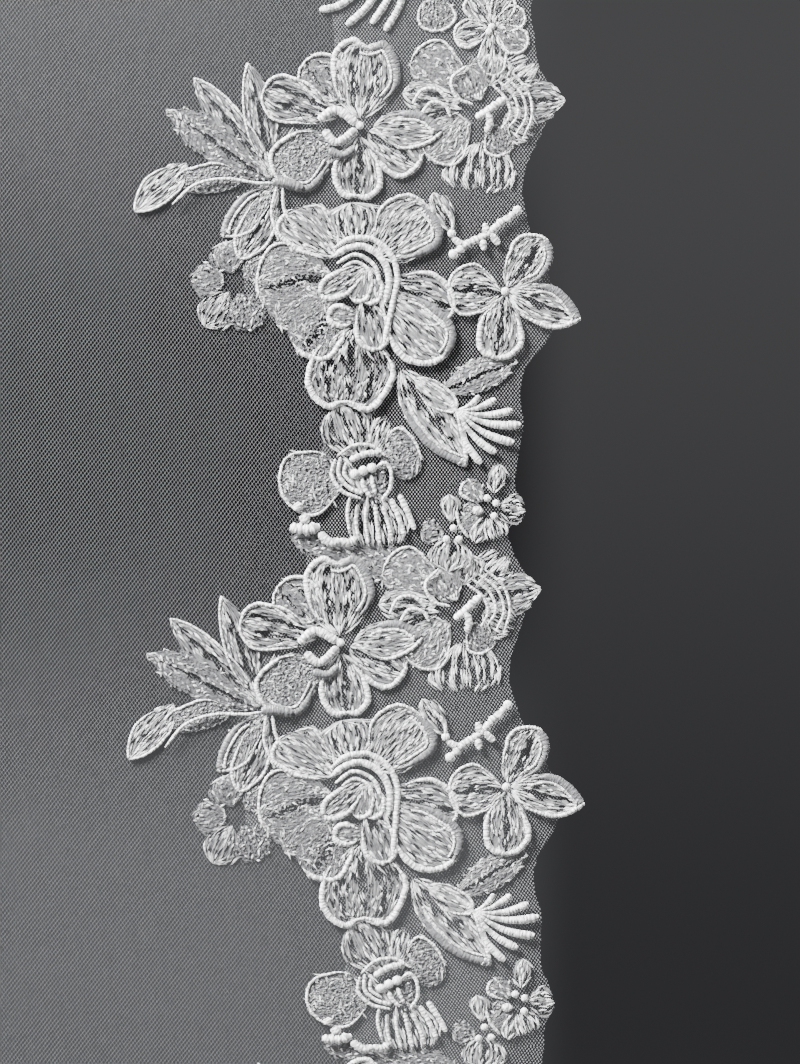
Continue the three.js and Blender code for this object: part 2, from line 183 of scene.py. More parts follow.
def edge_point(distance, inward):
    """The flat place at a distance along the free edge from the top of the lace, moved in on the cloth."""
    along = np.where(distance > HALF_EDGE, 2 * HALF_EDGE - distance, distance)
    straight = SIDE_LENGTH - LACE_START
    angle = np.clip((along - straight) / CORNER_RADIUS, 0, math.pi / 2)
    radius = CORNER_RADIUS - inward
    u = np.maximum(0, along - straight - CORNER_ARC) - CORNER_CENTRE - radius * np.cos(angle)
    v = SIDE_LENGTH + radius * np.sin(angle) - np.maximum(0, straight - along)
    return np.where(distance > HALF_EDGE, -u, u), v


# Shader helpers

VALUE = "NodeSocketFloat"
VECTOR = "NodeSocketVector"
# The numbers of a Mix node's two colour inputs
COLOUR_SOCKETS = (6, 7)


def new_group(name, inputs, outputs):
    """A node group that takes a place and some values, and puts out some values."""
    group = bpy.data.node_groups.new(name, "ShaderNodeTree")
    group.interface.new_socket("Place", in_out="INPUT", socket_type=VECTOR)
    for in_out, labels in (("INPUT", inputs), ("OUTPUT", outputs)):
        for label in labels:
            group.interface.new_socket(label, in_out=in_out, socket_type=VALUE)
    return group, group.nodes.new("NodeGroupInput"), group.nodes.new("NodeGroupOutput")


def math_node(tree, operation, first, second=None, third=None):
    node = tree.nodes.new("ShaderNodeMath")
    node.operation = operation
    for socket, value in zip(node.inputs, (first, second, third)):
        if isinstance(value, (int, float)):
            socket.default_value = value
        elif value is not None:
            tree.links.new(value, socket)
    return node.outputs[0]


def map_range(tree, value, low, high, to_low=0.0, to_high=1.0):
    node = tree.nodes.new("ShaderNodeMapRange")
    node.interpolation_type = "SMOOTHSTEP"
    tree.links.new(value, node.inputs["Value"])
    for label, number in (("From Min", low), ("From Max", high), ("To Min", to_low), ("To Max", to_high)):
        if isinstance(number, (int, float)):
            node.inputs[label].default_value = number
        else:
            tree.links.new(number, node.inputs[label])
    return node.outputs["Result"]


def products(tree, a, b, c, d):
    """a times b less c times d."""
    taken = math_node(tree, "MULTIPLY", c, d)
    return math_node(tree, "SUBTRACT", math_node(tree, "MULTIPLY", a, b), taken)


def blend(tree, factor, first, second):
    """The first value where the factor is 0, the second where it is 1."""
    return math_node(tree, "MULTIPLY_ADD", math_node(tree, "SUBTRACT", second, first), factor, first)


def mix_colour(tree, factor, first, second):
    node = tree.nodes.new("ShaderNodeMix")
    node.data_type = "RGBA"
    if isinstance(factor, (int, float)):
        node.inputs["Factor"].default_value = factor
    else:
        tree.links.new(factor, node.inputs["Factor"])
    for number, colour in zip(COLOUR_SOCKETS, (first, second)):
        socket = node.inputs[number]
        if isinstance(colour, tuple):
            socket.default_value = (*colour, 1.0)
        else:
            tree.links.new(colour, socket)
    return node.outputs[2]


def noise(tree, vector, scale, detail=2.0):
    node = tree.nodes.new("ShaderNodeTexNoise")
    node.inputs["Scale"].default_value = scale
    node.inputs["Detail"].default_value = detail
    tree.links.new(vector, node.inputs["Vector"])
    return node.outputs["Fac"]


# How soft the edge of a net's thread is, as a share of its wave, and how much its crossings fill up
NET_EDGE = 0.06
CROSSING_FILL = 0.62
# The noise of a run of thread: its detail, and where a lit strand starts and is full
STRAND_DETAIL = 1.5
STRAND_START = 0.38
STRAND_FULL = 0.66


def net_group():
    """A net of two thread directions: what is thread. Places are millimetres on the cloth."""
    steps = ("First Across", "First Down", "Second Across", "Second Down")
    group, given, out = new_group("net_mesh", (*steps, "Thread", "Roundness"), ("Cover",))
    parts = group.nodes.new("ShaderNodeSeparateXYZ")
    group.links.new(given.outputs["Place"], parts.inputs[0])
    x, y = parts.outputs[0], parts.outputs[1]
    a, b, c, d = (given.outputs[label] for label in steps)
    whole = products(group, a, d, b, c)
    waves = []
    for value in (products(group, x, d, y, c), products(group, y, a, x, b)):
        angle = math_node(group, "MULTIPLY", math_node(group, "DIVIDE", value, whole), 2 * math.pi)
        cosine = math_node(group, "COSINE", angle)
        waves.append(math_node(group, "MULTIPLY_ADD", cosine, -0.5, 0.5))
    sharp = math_node(group, "MAXIMUM", *waves)
    soft = math_node(group, "MULTIPLY", math_node(group, "ADD", *waves), CROSSING_FILL)
    level = blend(group, given.outputs["Roundness"], sharp, soft)
    start = math_node(group, "SUBTRACT", 1.0, given.outputs["Thread"])
    cover = map_range(group, level, math_node(group, "SUBTRACT", start, NET_EDGE), start)
    group.links.new(cover, out.inputs["Cover"])
    return group


def thread_group():
    """Embroidery thread laid in one direction: how much of it is lit strand, and its height."""
    group, given, out = new_group("thread_run", ("Across", "Along"), ("Strand", "Height"))
    scale = group.nodes.new("ShaderNodeCombineXYZ")
    group.links.new(given.outputs["Across"], scale.inputs[0])
    group.links.new(given.outputs["Along"], scale.inputs[1])
    product = group.nodes.new("ShaderNodeVectorMath")
    product.operation = "MULTIPLY"
    group.links.new(given.outputs["Place"], product.inputs[0])
    group.links.new(scale.outputs[0], product.inputs[1])
    strands = noise(group, product.outputs[0], 1.0, STRAND_DETAIL)
    group.links.new(map_range(group, strands, STRAND_START, STRAND_FULL), out.inputs["Strand"])
    group.links.new(strands, out.inputs["Height"])
    return group


GROUPS = {}

# Materials. Sizes of bumps are metres; the scales of thread are turns a millimetre across and along it
SHEEN_ROUGHNESS = 0.4
NET_ROUGHNESS = 0.55
SEWING_ROUGHNESS = 0.5
FLOOR_ROUGHNESS = 0.8
COMB_ROUGHNESS = 0.2
# Roughness and sheen
FILL_FINISH = (0.42, 0.3)
SATIN_FINISH = (0.4, 0.25)
STITCH_FINISH = (0.38, 0.2)
NET_WANDER = 0.35
MASK_FADE = 0.5
FILL_RUN = {"Across": 1.25, "Along": 0.26}
SPECK_RUN = {"Across": 1.3, "Along": 1.0}
SATIN_RUN = {"Across": 0.5, "Along": 1.5}
STITCH_RUN = {"Across": 3.0, "Along": 0.8}
FILL_BUMP = 0.0009
SATIN_BUMP = 0.0004
STITCH_BUMP = 0.0002
MOST_GAPS = 1.2
FEW_GAPS_LIMIT = 0.34
MOST_GAPS_LIMIT = 0.64
GAP_EDGE = 0.03

# Colours of thread, each at tone 0 and at tone 1, in painted shade between strands and on painted lit
# strands, and of single stuffs from dark to light
FILL_SHADE = ((0.025, 0.025, 0.028), (0.05, 0.05, 0.053))
FILL_LIT = ((0.08, 0.08, 0.085), (0.18, 0.18, 0.184))
STITCH_SHADE = ((0.05, 0.05, 0.053), (0.45, 0.45, 0.455))
STITCH_LIT = ((0.14, 0.14, 0.144), (0.95, 0.95, 0.95))
# The satin bands and cords: painted shade between strands, then painted lit strand
BAND_SHADE_AND_LIT = ((0.075, 0.075, 0.079), (0.14, 0.14, 0.146))
CORD_SHADE_AND_LIT = ((0.22, 0.22, 0.225), (0.85, 0.85, 0.85))
TULLE_COLOURS = ((0.06, 0.061, 0.064), (0.085, 0.086, 0.09))
GROUND_COLOURS = ((0.12, 0.122, 0.127), (0.18, 0.182, 0.187))
FLOOR_COLOURS = ((0.53, 0.525, 0.52), (0.57, 0.565, 0.56))
COMB_COLOURS = ((0.8, 0.82, 0.84), (0.88, 0.89, 0.9))

# The two nets: the step across and down from mesh to mesh in each thread direction, and the rest
TULLE_MESH = ((-0.564, 0.876), (0.549, 0.702))
GROUND_MESH = ((0.5, 0.66), (-0.5, 0.66))
TULLE_THREAD = 0.02
TULLE_CROSSING = 0.0
GROUND_THREAD = 0.1
GROUND_CROSSING = 0.5
NET_COVER = 0.9


def place_group(tree, name, **values):
    node = tree.nodes.new("ShaderNodeGroup")
    node.node_tree = GROUPS[name]
    for label, value in values.items():
        socket = node.inputs[label.replace("_", " ")]
        if isinstance(value, (int, float)):
            socket.default_value = value
        else:
            tree.links.new(value, socket)
    return node.outputs


def new_material(name, roughness, sheen=0.0):
    material = bpy.data.materials.new(name)
    material.use_nodes = True
    shader = material.node_tree.nodes["Principled BSDF"]
    shader.inputs["Roughness"].default_value = roughness
    shader.inputs["Sheen Weight"].default_value = sheen
    shader.inputs["Sheen Roughness"].default_value = SHEEN_ROUGHNESS
    return material, material.node_tree, shader


def cloth_place(tree):
    node = tree.nodes.new("ShaderNodeUVMap")
    node.uv_map = "cloth"
    return node.outputs[0]


def attribute(tree, name):
    node = tree.nodes.new("ShaderNodeAttribute")
    node.attribute_name = name
    return node.outputs["Fac"]


def add_bump(tree, shader, height, distance):
    bump = tree.nodes.new("ShaderNodeBump")
    bump.inputs["Distance"].default_value = distance
    tree.links.new(height, bump.inputs["Height"])
    tree.links.new(bump.outputs[0], shader.inputs["Normal"])


def thread_run(tree, scales):
    return place_group(tree, "thread_run", Place=cloth_place(tree), **scales)


def noise_material(name, roughness, scale, colours):
    """A plain stuff whose colour wanders a little."""
    material, tree, shader = new_material(name, roughness)
    place = tree.nodes.new("ShaderNodeTexCoord").outputs["Object"]
    tree.links.new(mix_colour(tree, noise(tree, place, scale), *colours), shader.inputs["Base Color"])
    return material


def net_material(name, mesh, thread, roundness, colours, mask=None):
    material, tree, shader = new_material(name, NET_ROUGHNESS)
    place = cloth_place(tree)
    first, second = mesh
    wander = noise(tree, place, NET_WANDER, 1.0)
    net = place_group(
        tree, "net_mesh", Place=place, First_Across=first[0], First_Down=first[1],
        Second_Across=second[0], Second_Down=second[1], Thread=thread, Roundness=roundness,
    )
    cover = math_node(tree, "MULTIPLY", net["Cover"], NET_COVER)
    if mask:
        shown = map_range(tree, attribute(tree, mask), -MASK_FADE, MASK_FADE)
        cover = math_node(tree, "MULTIPLY", cover, shown)
    tree.links.new(cover, shader.inputs["Alpha"])
    tree.links.new(mix_colour(tree, wander, *colours), shader.inputs["Base Color"])
    return material


def fill_material():
    """The flat stitches that fill a petal: strands along it with painted lit strands and painted shade
    between them, and gaps where the net shows.
    """
    material, tree, shader = new_material("lace_fill", *FILL_FINISH)
    streak = thread_run(tree, FILL_RUN)
    speck = thread_run(tree, SPECK_RUN)
    grain = attribute(tree, "grain")
    strand, height = (blend(tree, grain, streak[label], speck[label]) for label in ("Strand", "Height"))
    tone = attribute(tree, "tone")
    dark = mix_colour(tree, tone, *FILL_SHADE)
    light = mix_colour(tree, tone, *FILL_LIT)
    # Painted shade between the strands, painted light on the strands
    tree.links.new(mix_colour(tree, strand, dark, light), shader.inputs["Base Color"])
    gaps = attribute(tree, "gaps")
    limit = map_range(tree, gaps, 0.0, MOST_GAPS, FEW_GAPS_LIMIT, MOST_GAPS_LIMIT)
    cover = map_range(tree, height, math_node(tree, "SUBTRACT", limit, GAP_EDGE), limit)
    tree.links.new(cover, shader.inputs["Alpha"])
    add_bump(tree, shader, height, FILL_BUMP)
    return material


def satin_material(name, colours):
    """Close satin stitches laid across a band, with painted lit strands and painted shade between them."""
    material, tree, shader = new_material(name, *SATIN_FINISH)
    run = thread_run(tree, SATIN_RUN)
    # Painted shade between the strands, painted light on the strands
    tree.links.new(mix_colour(tree, run["Strand"], *colours), shader.inputs["Base Color"])
    add_bump(tree, shader, run["Height"], SATIN_BUMP)
    return material


def stitch_material():
    """Single raised stitches, some whiter than others, with painted lit strands and painted shade between
    them.
    """
    material, tree, shader = new_material("lace_stitch", *STITCH_FINISH)
    run = thread_run(tree, STITCH_RUN)
    tone = attribute(tree, "tone")
    dark = mix_colour(tree, tone, *STITCH_SHADE)
    light = mix_colour(tree, tone, *STITCH_LIT)
    # Painted shade between the strands, painted light on the strands
    tree.links.new(mix_colour(tree, run["Strand"], dark, light), shader.inputs["Base Color"])
    add_bump(tree, shader, run["Height"], STITCH_BUMP)
    return material


# Building meshes from arrays


def mesh_object(name, places, faces, material_of, materials, uv, layers=()):
    """One object from places in metres, faces, a material number for each face, and values at each point."""
    mesh = bpy.data.meshes.new(name)
    mesh.from_pydata(places.tolist(), [], faces)
    mesh.update()
    for material in materials:
        mesh.materials.append(material)
    mesh.polygons.foreach_set("material_index", np.asarray(material_of, np.int32))
    mesh.polygons.foreach_set("use_smooth", np.ones(len(faces), bool))
    corners = np.zeros(len(mesh.loops), np.int32)
    mesh.loops.foreach_get("vertex_index", corners)
    layer = mesh.uv_layers.new(name="cloth")
    layer.data.foreach_set("uv", uv[corners].astype(np.float32).ravel())
    for label, values in layers:
        spot = mesh.attributes.new(label, "FLOAT", "POINT")
        spot.data.foreach_set("value", values.astype(np.float32))
    mesh.validate()
    piece = bpy.data.objects.new(name, mesh)
    bpy.context.scene.collection.objects.link(piece)
    return piece


def grid_faces(rows, columns, start=0):
    """The quads of a grid of points stored row by row."""
    first = (np.arange(rows - 1)[:, None] * columns + np.arange(columns - 1)[None, :]).ravel() + start
    return np.stack([first, first + 1, first + columns + 1, first + columns], axis=1)


# Tulle

BACK_COLUMNS = 300
SIDE_COLUMNS = 32
TULLE_ROWS = 116
ROW_CROWDING = 1.35


def bottom_of_cut(u):
    past = np.maximum(0, np.abs(u) - CORNER_CENTRE)
    return SIDE_LENGTH + np.sqrt(np.maximum(0, CORNER_RADIUS**2 - past**2))


def side_of_cut(v):
    past = np.maximum(0, v - SIDE_LENGTH)
    return CORNER_CENTRE + np.sqrt(np.maximum(0, CORNER_RADIUS**2 - past**2))


def tulle_grid():
    """Flat places of the tulle's grid, whose outer columns close up towards the rounded corners."""
    rows = np.linspace(0, 1, TULLE_ROWS) ** ROW_CROWDING
    back = np.linspace(-FOLDED_HALF, FOLDED_HALF, BACK_COLUMNS)
    side = np.linspace(0, 1, SIDE_COLUMNS)[1:]
    beside = np.full(len(side), FOLDED_HALF)
    line_u = np.concatenate([-beside, back, beside])
    front = np.concatenate([side[::-1], np.zeros(len(back)), side])
    corner_u = CORNER_CENTRE + CORNER_RADIUS * math.sqrt(0.5)
    bottom_u = np.abs(line_u) * (1 - front) + corner_u * front
    v = rows[:, None] * bottom_of_cut(bottom_u)[None, :]
    u = np.abs(line_u)[None, :] * (1 - front[None, :]) + side_of_cut(v) * front[None, :]
    return np.sign(line_u)[None, :] * u, v


def edge_distance(u, v):
    """How far a flat place lies in from the free edge, and how far along it from the top of the lace."""
    past_side = np.abs(u) - CORNER_CENTRE
    past_down = v - SIDE_LENGTH
    at_corner = (past_side > 0) & (past_down > 0)
    round_in = CORNER_RADIUS - np.hypot(past_side, past_down)
    turn = np.arctan2(np.maximum(past_down, 0), past_side)
    round_along = SIDE_LENGTH - LACE_START + CORNER_RADIUS * turn
    at_side = past_side > past_down
    straight_in = np.where(at_side, HALF_CUT - np.abs(u), CUT_LENGTH - v)
    straight_along = np.where(at_side, v - LACE_START, HALF_EDGE - np.abs(u))
    inward = np.where(at_corner, round_in, straight_in)
    along = np.where(at_corner, round_along, straight_along)
    return inward, along


def make_tulle(material):
    u, v = tulle_grid()
    rows, columns = u.shape
    flat_u = u.ravel()
    flat_v = v.ravel()
    inward, along = edge_distance(flat_u, flat_v)
    number = np.clip((along / LACE_REPEAT).astype(int), 0, len(LAYS) - 1)
    middle = (number + 0.5) * LACE_REPEAT
    border = np.zeros(len(flat_u))
    for order in range(len(LAYS)):
        here = number == order
        border[here] = joined_reach(order, along[here] - middle[here], INNER_EDGE)
    bare = np.where(along < 0, 1.0, (inward - border + SEAM_OVERLAP) / SEAM_OVERLAP)
    places = on_cloth(flat_u, flat_v, np.zeros(len(flat_u)))
    faces = grid_faces(rows, columns)[:, ::-1].tolist()
    uv = np.stack([flat_u, flat_v], axis=1)
    kinds = np.zeros(len(faces))
    return mesh_object("veil_tulle", places, faces, kinds, [material], uv, [("bare", bare)])


# Lace: the ground net

SEAM_OVERLAP = 3.0
SEAM_BLEND = 22.0
GROUND_ROWS = 42
GROUND_COLUMNS = 26
REACH_ROUNDS = 3

# The net's outer edge on a lace piece, down the piece and to the right
OUTER_EDGE = np.array([
    (-77.25, 0.0), (-64, 4), (-57, 9), (-50, 10), (-41, 6), (-33, 2), (-25.5, 0.6), (-13.5, 3),
    (-4.5, 7.5), (10, 12), (18, 10), (24, 5), (29, 1), (37, 0), (45, 1.5), (52, 0), (61, -1), (67, 1.5),
    (74, 3), (77.25, 0),
])

# Where the lace's own net ends under the flowers and the tulle begins
INNER_EDGE = np.array([
    (-77.25, -60.0), (-64.5, -57), (-49.5, -70), (-27, -76), (-10.5, -77), (4.5, -84), (19.5, -69),
    (37.5, -57), (46.5, -57), (61.5, -63), (77.25, -60),
])


def turned(run, deep, turn):
    """A place on a lace piece, turned about its own centre: along the edge and in from it."""
    along = run * math.cos(turn) + deep * math.sin(turn)
    inward = TURN_CENTRE - run * math.sin(turn) + deep * math.cos(turn)
    return along, inward


def ground_reach(along, lay, edge):
    """How far in the edge of a turned piece's net lies, at a place along the free edge."""
    turn = math.radians(lay.turn)
    inward = np.full(np.shape(along), TURN_CENTRE)
    for _ in range(REACH_ROUNDS):
        run = along * math.cos(turn) - (inward - TURN_CENTRE) * math.sin(turn)
        down = -run if lay.flipped else run
        deep = -np.interp(down, edge[:, 0], edge[:, 1]) - TURN_CENTRE
        inward = TURN_CENTRE + (deep - along * math.sin(turn)) / math.cos(turn)
    return inward


def joined_reach(order, along, edge):
    """The reach of a piece's net, drawn near each seam towards that of its neighbour so that the two meet."""
    half = LACE_REPEAT / 2
    reach = ground_reach(along, LAYS[order], edge)
    last = len(LAYS) - 1
    for end in (-1, 1):
        beside = order + end
        facing = -end
        if beside > last:
            beside = last - 1
            facing = end
        if beside < 0:
            continue
        own = ground_reach(np.array(end * half), LAYS[order], edge)
        other = ground_reach(np.array(facing * half), LAYS[beside], edge)
        near = np.clip(1 - (half - end * along) / SEAM_BLEND, 0, 1)
        reach = reach + (other - own) / 2 * near**2 * (3 - 2 * near)
    return reach


def ground_net(order):
    """The strip of net that a lace piece is worked on: along, in, and its places on the piece."""
    lay = LAYS[order]
    half = LACE_REPEAT / 2
    along = np.repeat(np.linspace(-half, half, GROUND_ROWS)[:, None], GROUND_COLUMNS, axis=1)
    outer = joined_reach(order, along, OUTER_EDGE)
    inner = joined_reach(order, along, INNER_EDGE)
    share = np.linspace(0, 1, GROUND_COLUMNS)[None, :]
    inward = outer * (1 - share) + inner * share
    turn = math.radians(lay.turn)
    run = along * math.cos(turn) - (inward - TURN_CENTRE) * math.sin(turn)
    deep = along * math.sin(turn) + (inward - TURN_CENTRE) * math.cos(turn)
    down = -run if lay.flipped else run
    uv = np.stack([-(deep + TURN_CENTRE).ravel(), down.ravel()], axis=1)
    return along.ravel(), inward.ravel(), uv, grid_faces(GROUND_ROWS, GROUND_COLUMNS)


# Lace: petals and leaves

Petal = namedtuple("Petal", "angle start reach width belly neck end bend rims fill notch lobes")
FILLS = {
    # name: tone, grain, gaps at the root and at the end, stitches a square millimetre, shortest, longest
    "bright": (0.85, 0.0, 0.95, 0.42, 0.52, 1.8, 4.4),
    "streak": (0.55, 0.15, 0.9, 0.48, 0.5, 1.5, 3.8),
    "open": (0.7, 0.0, 1.2, 1.0, 0.55, 2.2, 5.5),
    "grain": (0.3, 0.9, 0.62, 0.34, 0.46, 0.6, 1.3),
    "silk": (0.42, 0.5, 0.5, 0.26, 0.5, 1.0, 2.4),
}
MATERIAL_NUMBERS = {"ground": 0, "fill": 1, "band": 2, "cord": 3, "stitch": 4}
RUFFLE = 0.045
RUFFLE_WAVES = 9
RUFFLE_SHIFT = 1.7
NOTCH_WIDTH = 0.3
RING_START = 0.22
RING_POINTS = 22
SATIN_WIDTH = 2.0
STITCH_SHARE = 0.66


def petal(angle, start, reach, width, fill, belly=0.62, neck=0.75, end=0.5, bend=0.0, rims=(0, 0),
          notch=0.0, lobes=1):
    return Petal(angle, start, reach, width, belly, neck, end, bend, rims, fill, notch, lobes)


def petal_places(centre, shape, side, share):
    """Places on a petal: side runs from -1 at its left to 1 at its right, share from 0 at its root to 1."""
    turn = math.radians(shape.angle)
    length = shape.reach - shape.start
    before = np.clip(1 - share / shape.belly, 0, 1)
    after = np.clip((share - shape.belly) / (1 - shape.belly), 0, 1)
    width = np.where(share < shape.belly, (1 - before**2) ** shape.neck, (1 - after**2) ** shape.end)
    wave = 1 + RUFFLE * np.sin(RUFFLE_WAVES * share + shape.angle + RUFFLE_SHIFT * np.sign(side))
    notch = shape.notch * np.exp(-((side * width / NOTCH_WIDTH) ** 2)) * share**4
    out = shape.start + length * share * (1 - notch)
    bow = shape.bend * length * np.sin(math.pi * share / 2) ** 2
    across = side * width * wave * shape.width / 2 + bow
    right = centre[0] + out * math.cos(turn) + across * math.sin(turn)
    down = centre[1] - out * math.sin(turn) + across * math.cos(turn)
    return right, down


def petal_ring(centre, shape, inset):
    """A petal's edge up its left side, over the tip and down its right side, moved inwards by an inset."""
    share = np.sin(np.linspace(RING_START, math.pi / 2, RING_POINTS))
    left = petal_places(centre, shape, np.full(RING_POINTS, -1.0), share)
    right = petal_places(centre, shape, np.full(RING_POINTS - 1, 1.0), share[-2::-1])
    line = np.concatenate([np.stack(left, axis=1), np.stack(right, axis=1)])
    run = np.gradient(line, axis=0)
    run = (np.roll(run, 1, axis=0) + 2 * run + np.roll(run, -1, axis=0)) / 4
    run[0], run[-1] = line[1] - line[0], line[-1] - line[-2]
    run /= np.linalg.norm(run, axis=1, keepdims=True)
    return line + np.stack([-run[:, 1], run[:, 0]], axis=1) * np.asarray(inset)[..., None]


def inside(points, outline):
    """True for each point that lies within a closed outline."""
    x, y = points[:, 0], points[:, 1]
    result = np.zeros(len(points), bool)
    following = np.roll(outline, -1, axis=0)
    for (x0, y0), (x1, y1) in zip(outline, following):
        if y0 == y1:
            continue
        crosses = (y0 > y) != (y1 > y)
        result ^= crosses & (x < (x1 - x0) * (y - y0) / (y1 - y0) + x0)
    return result


class LaceWork:
    """Gathers the stitched parts of one repeat as arrays of points, faces and values."""

    def __init__(self):
        self.points = []
        self.uv = []
        self.values = []
        self.faces = []
        self.kinds = []
        self.count = 0

    def add(self, points, faces, uv, kind, tone=0.5, grain=0.0, gaps=0.0):
        number = len(points)
        self.points.append(points)
        self.uv.append(uv)
        spread_out = [np.broadcast_to(value, number) for value in (tone, grain, gaps)]
        self.values.append(np.stack(spread_out, axis=1))
        self.faces.append(np.asarray(faces) + self.count)
        self.kinds.append(np.full(len(faces), MATERIAL_NUMBERS[kind]))
        self.count += number


# How far each petal lies above the one before it, how high it is domed, and where the dome ends
RISE = 0.018
DOME = 0.4
DOME_END = 0.97
PARTING_WIDTH = 0.24
# Painted shade and light across the lace: how much greyer its inner side and brighter its free edge are
# painted
PAINTED_INNER_SHADE = 0.22

# The plate of a petal: its grid, how soon the gaps are those of its end, and the gaps at its partings,
# along its sides and at its tip
PLATE_ROWS = 9
LOBE_COLUMNS = 4
PLATE_COLUMNS = 5
GAP_CHANGE = 1.7
PARTING_GAPS = 0.75
PARTING_FADE = 1.6
SIDE_GAPS = 0.5
TIP_GAPS = 0.4

# The raised stitches of a petal, and their shapes in millimetres
SIDE_LIMIT = 0.97
STITCH_SHARES = (0.02, 1.05)
OPEN_ENDS = (0.74, 0.98)
CLOSED_END = 1.03
FIRST_SHARE = 0.01
SPOIL = 1.1
DRIFT = 0.02
SPOILED_DRIFT = 0.12
SPOILED_TURN = 0.9
PARTING_BARE = 0.9
SPINDLE_WIDTHS = (0.42, 0.8)
SPINDLE_SHIFT = 0.2
SPINDLE_LIFT = 0.15
SPINDLE_HEIGHTS = (0.15, 0.34)
SPINDLE_SINK = 0.12
THREAD_RANGE = 90
SHORTEST_RUN = 1e-6
DARKEST_STITCH = 0.16
STITCH_TONE = 0.6
STITCH_CHANCE = 0.28


def parting(shape, side):
    """How near a place lies to a dark line between two lobes of a petal: 1 on the line, 0 away from it."""
    turns = (side + 1) / 2 * shape.lobes
    nearest = np.round(turns)
    between = (nearest > 0) & (nearest < shape.lobes)
    return np.where(between, np.clip(1 - np.abs(turns - nearest) / PARTING_WIDTH, 0, 1), 0.0)


def painted_light_shift(centre):
    """Painted shade and light: the lace is painted greyer towards its inner side and brighter towards its
    free edge, as the light falls.
    """
    return PAINTED_INNER_SHADE * (centre[0] + TURN_CENTRE) / TURN_CENTRE


def dome(side, share):
    return DOME * (1 - side**2) * np.sin(math.pi * np.clip(share, 0, DOME_END))


def add_fill(work, centre, shape, level, offset):
    """The domed plate of flat stitches that fills a petal."""
    across = LOBE_COLUMNS * shape.lobes + PLATE_COLUMNS
    tone, grain, root_gaps, end_gaps = FILLS[shape.fill][:4]
    side, share = np.meshgrid(np.linspace(-1, 1, across), np.linspace(0, 1, PLATE_ROWS))
    side = side.ravel()
    share = share.ravel()
    right, down = petal_places(centre, shape, side, share)
    points = np.stack([right, down, level + dome(side, share)], axis=1)
    length = shape.reach - shape.start
    uv = np.stack([side * shape.width / 2 + offset[0], share * length + offset[1]], axis=1)
    gaps = root_gaps + (end_gaps - root_gaps) * np.minimum(1, share * GAP_CHANGE)
    gaps = gaps + PARTING_GAPS * parting(shape, side) * np.clip(PARTING_FADE - share, 0, 1)
    if not max(shape.rims):
        gaps = gaps + SIDE_GAPS * np.clip(np.abs(side) * 3 - 2, 0, 1)
        gaps = gaps + TIP_GAPS * np.clip(share * 5 - 4, 0, 1)
    # Painted shade greys the inner side and painted light brightens the free edge
    tone = np.clip(tone + painted_light_shift(centre), 0, 1)
    work.add(points, grid_faces(PLATE_ROWS, across), uv, "fill", tone, grain, gaps)


def add_stitches(work, centre, shape, level, above, rng):
    """Raised stitches along a petal, left out where another petal lies over it."""
    tone, grain, _, _, density, shortest, longest = FILLS[shape.fill]
    length = shape.reach - shape.start
    count = int(density * length * shape.width * STITCH_SHARE)
    side = rng.uniform(-SIDE_LIMIT, SIDE_LIMIT, count)
    run = rng.uniform(shortest, longest, count) / length
    share = rng.uniform(*STITCH_SHARES, count) - run / 2
    last = rng.uniform(*OPEN_ENDS, count) if shape.fill == "open" else CLOSED_END
    share = np.clip(share, FIRST_SHARE, last - run)
    spoil = grain * SPOIL
    ends = []
    for step in (0.0, 1.0):
        drift = side + rng.normal(0, DRIFT + SPOILED_DRIFT * spoil, count)
        places = petal_places(centre, shape, drift, np.clip(share + run * step, 0, 1.0))
        ends.append(np.stack(places, axis=1))
    start, stop = ends
    if spoil > 0.5:
        turn = rng.uniform(-SPOILED_TURN, SPOILED_TURN, count)
        middle = (start + stop) / 2
        half = (stop - start) / 2
        turned_half = np.stack([
            half[:, 0] * np.cos(turn) - half[:, 1] * np.sin(turn),
            half[:, 0] * np.sin(turn) + half[:, 1] * np.cos(turn),
        ], axis=1)
        start, stop = middle - turned_half, middle + turned_half
    middle = (start + stop) / 2
    seen = rng.uniform(0, 1, count) > PARTING_BARE * parting(shape, side)
    for outline in above:
        seen &= ~inside(middle, outline)
    heights = level + dome(side[seen], share[seen] + run[seen] / 2)
    # Painted shade greys the inner side and painted light brightens the free edge
    add_spindles(work, start[seen], stop[seen], heights, tone + painted_light_shift(centre), rng)


def add_spindles(work, start, stop, level, tone, rng):
    """Stitches as narrow raised spindles of four faces each."""
    count = len(start)
    if not count:
        return
    run = stop - start
    length = np.linalg.norm(run, axis=1, keepdims=True) + SHORTEST_RUN
    normal = np.stack([-run[:, 1], run[:, 0]], axis=1) / length
    column = (count, 1)
    half = rng.uniform(*SPINDLE_WIDTHS, column) / 2
    middle = (start + stop) / 2 + run * rng.uniform(-SPINDLE_SHIFT, SPINDLE_SHIFT, column)
    base = np.broadcast_to(level, count)[:, None] + rng.uniform(0.0, SPINDLE_LIFT, column)
    top = base + rng.uniform(*SPINDLE_HEIGHTS, column)
    low = base - SPINDLE_SINK
    points = np.stack([
        np.hstack([start, low]), np.hstack([middle + normal * half, base]),
        np.hstack([stop, low]), np.hstack([middle - normal * half, base]), np.hstack([middle, top]),
    ], axis=1).reshape(-1, 3)
    first = np.arange(count)[:, None] * 5
    faces = np.concatenate([first + np.array([i, (i + 1) % 4, 4]) for i in range(4)])
    none = np.zeros(column)
    uv = np.stack([
        np.hstack([none, none]), np.hstack([half, length / 2]), np.hstack([none, length]),
        np.hstack([-half, length / 2]), np.hstack([none, length / 2]),
    ], axis=1) + rng.uniform(0, THREAD_RANGE, (count, 1, 2))
    shade = np.clip(rng.normal(DARKEST_STITCH + STITCH_TONE * tone, STITCH_CHANCE, count), 0, 1)
    work.add(points, faces, uv.reshape(-1, 2), "stitch", np.repeat(shade, 5))


# The section of a band: places across it, and their heights
BAND_SECTION = ((-0.5, 0.0), (-0.3, 0.75), (0.0, 1.0), (0.3, 0.75), (0.5, 0.0))
NARROWEST = 0.1
SHORTEST_STEP = 1e-9


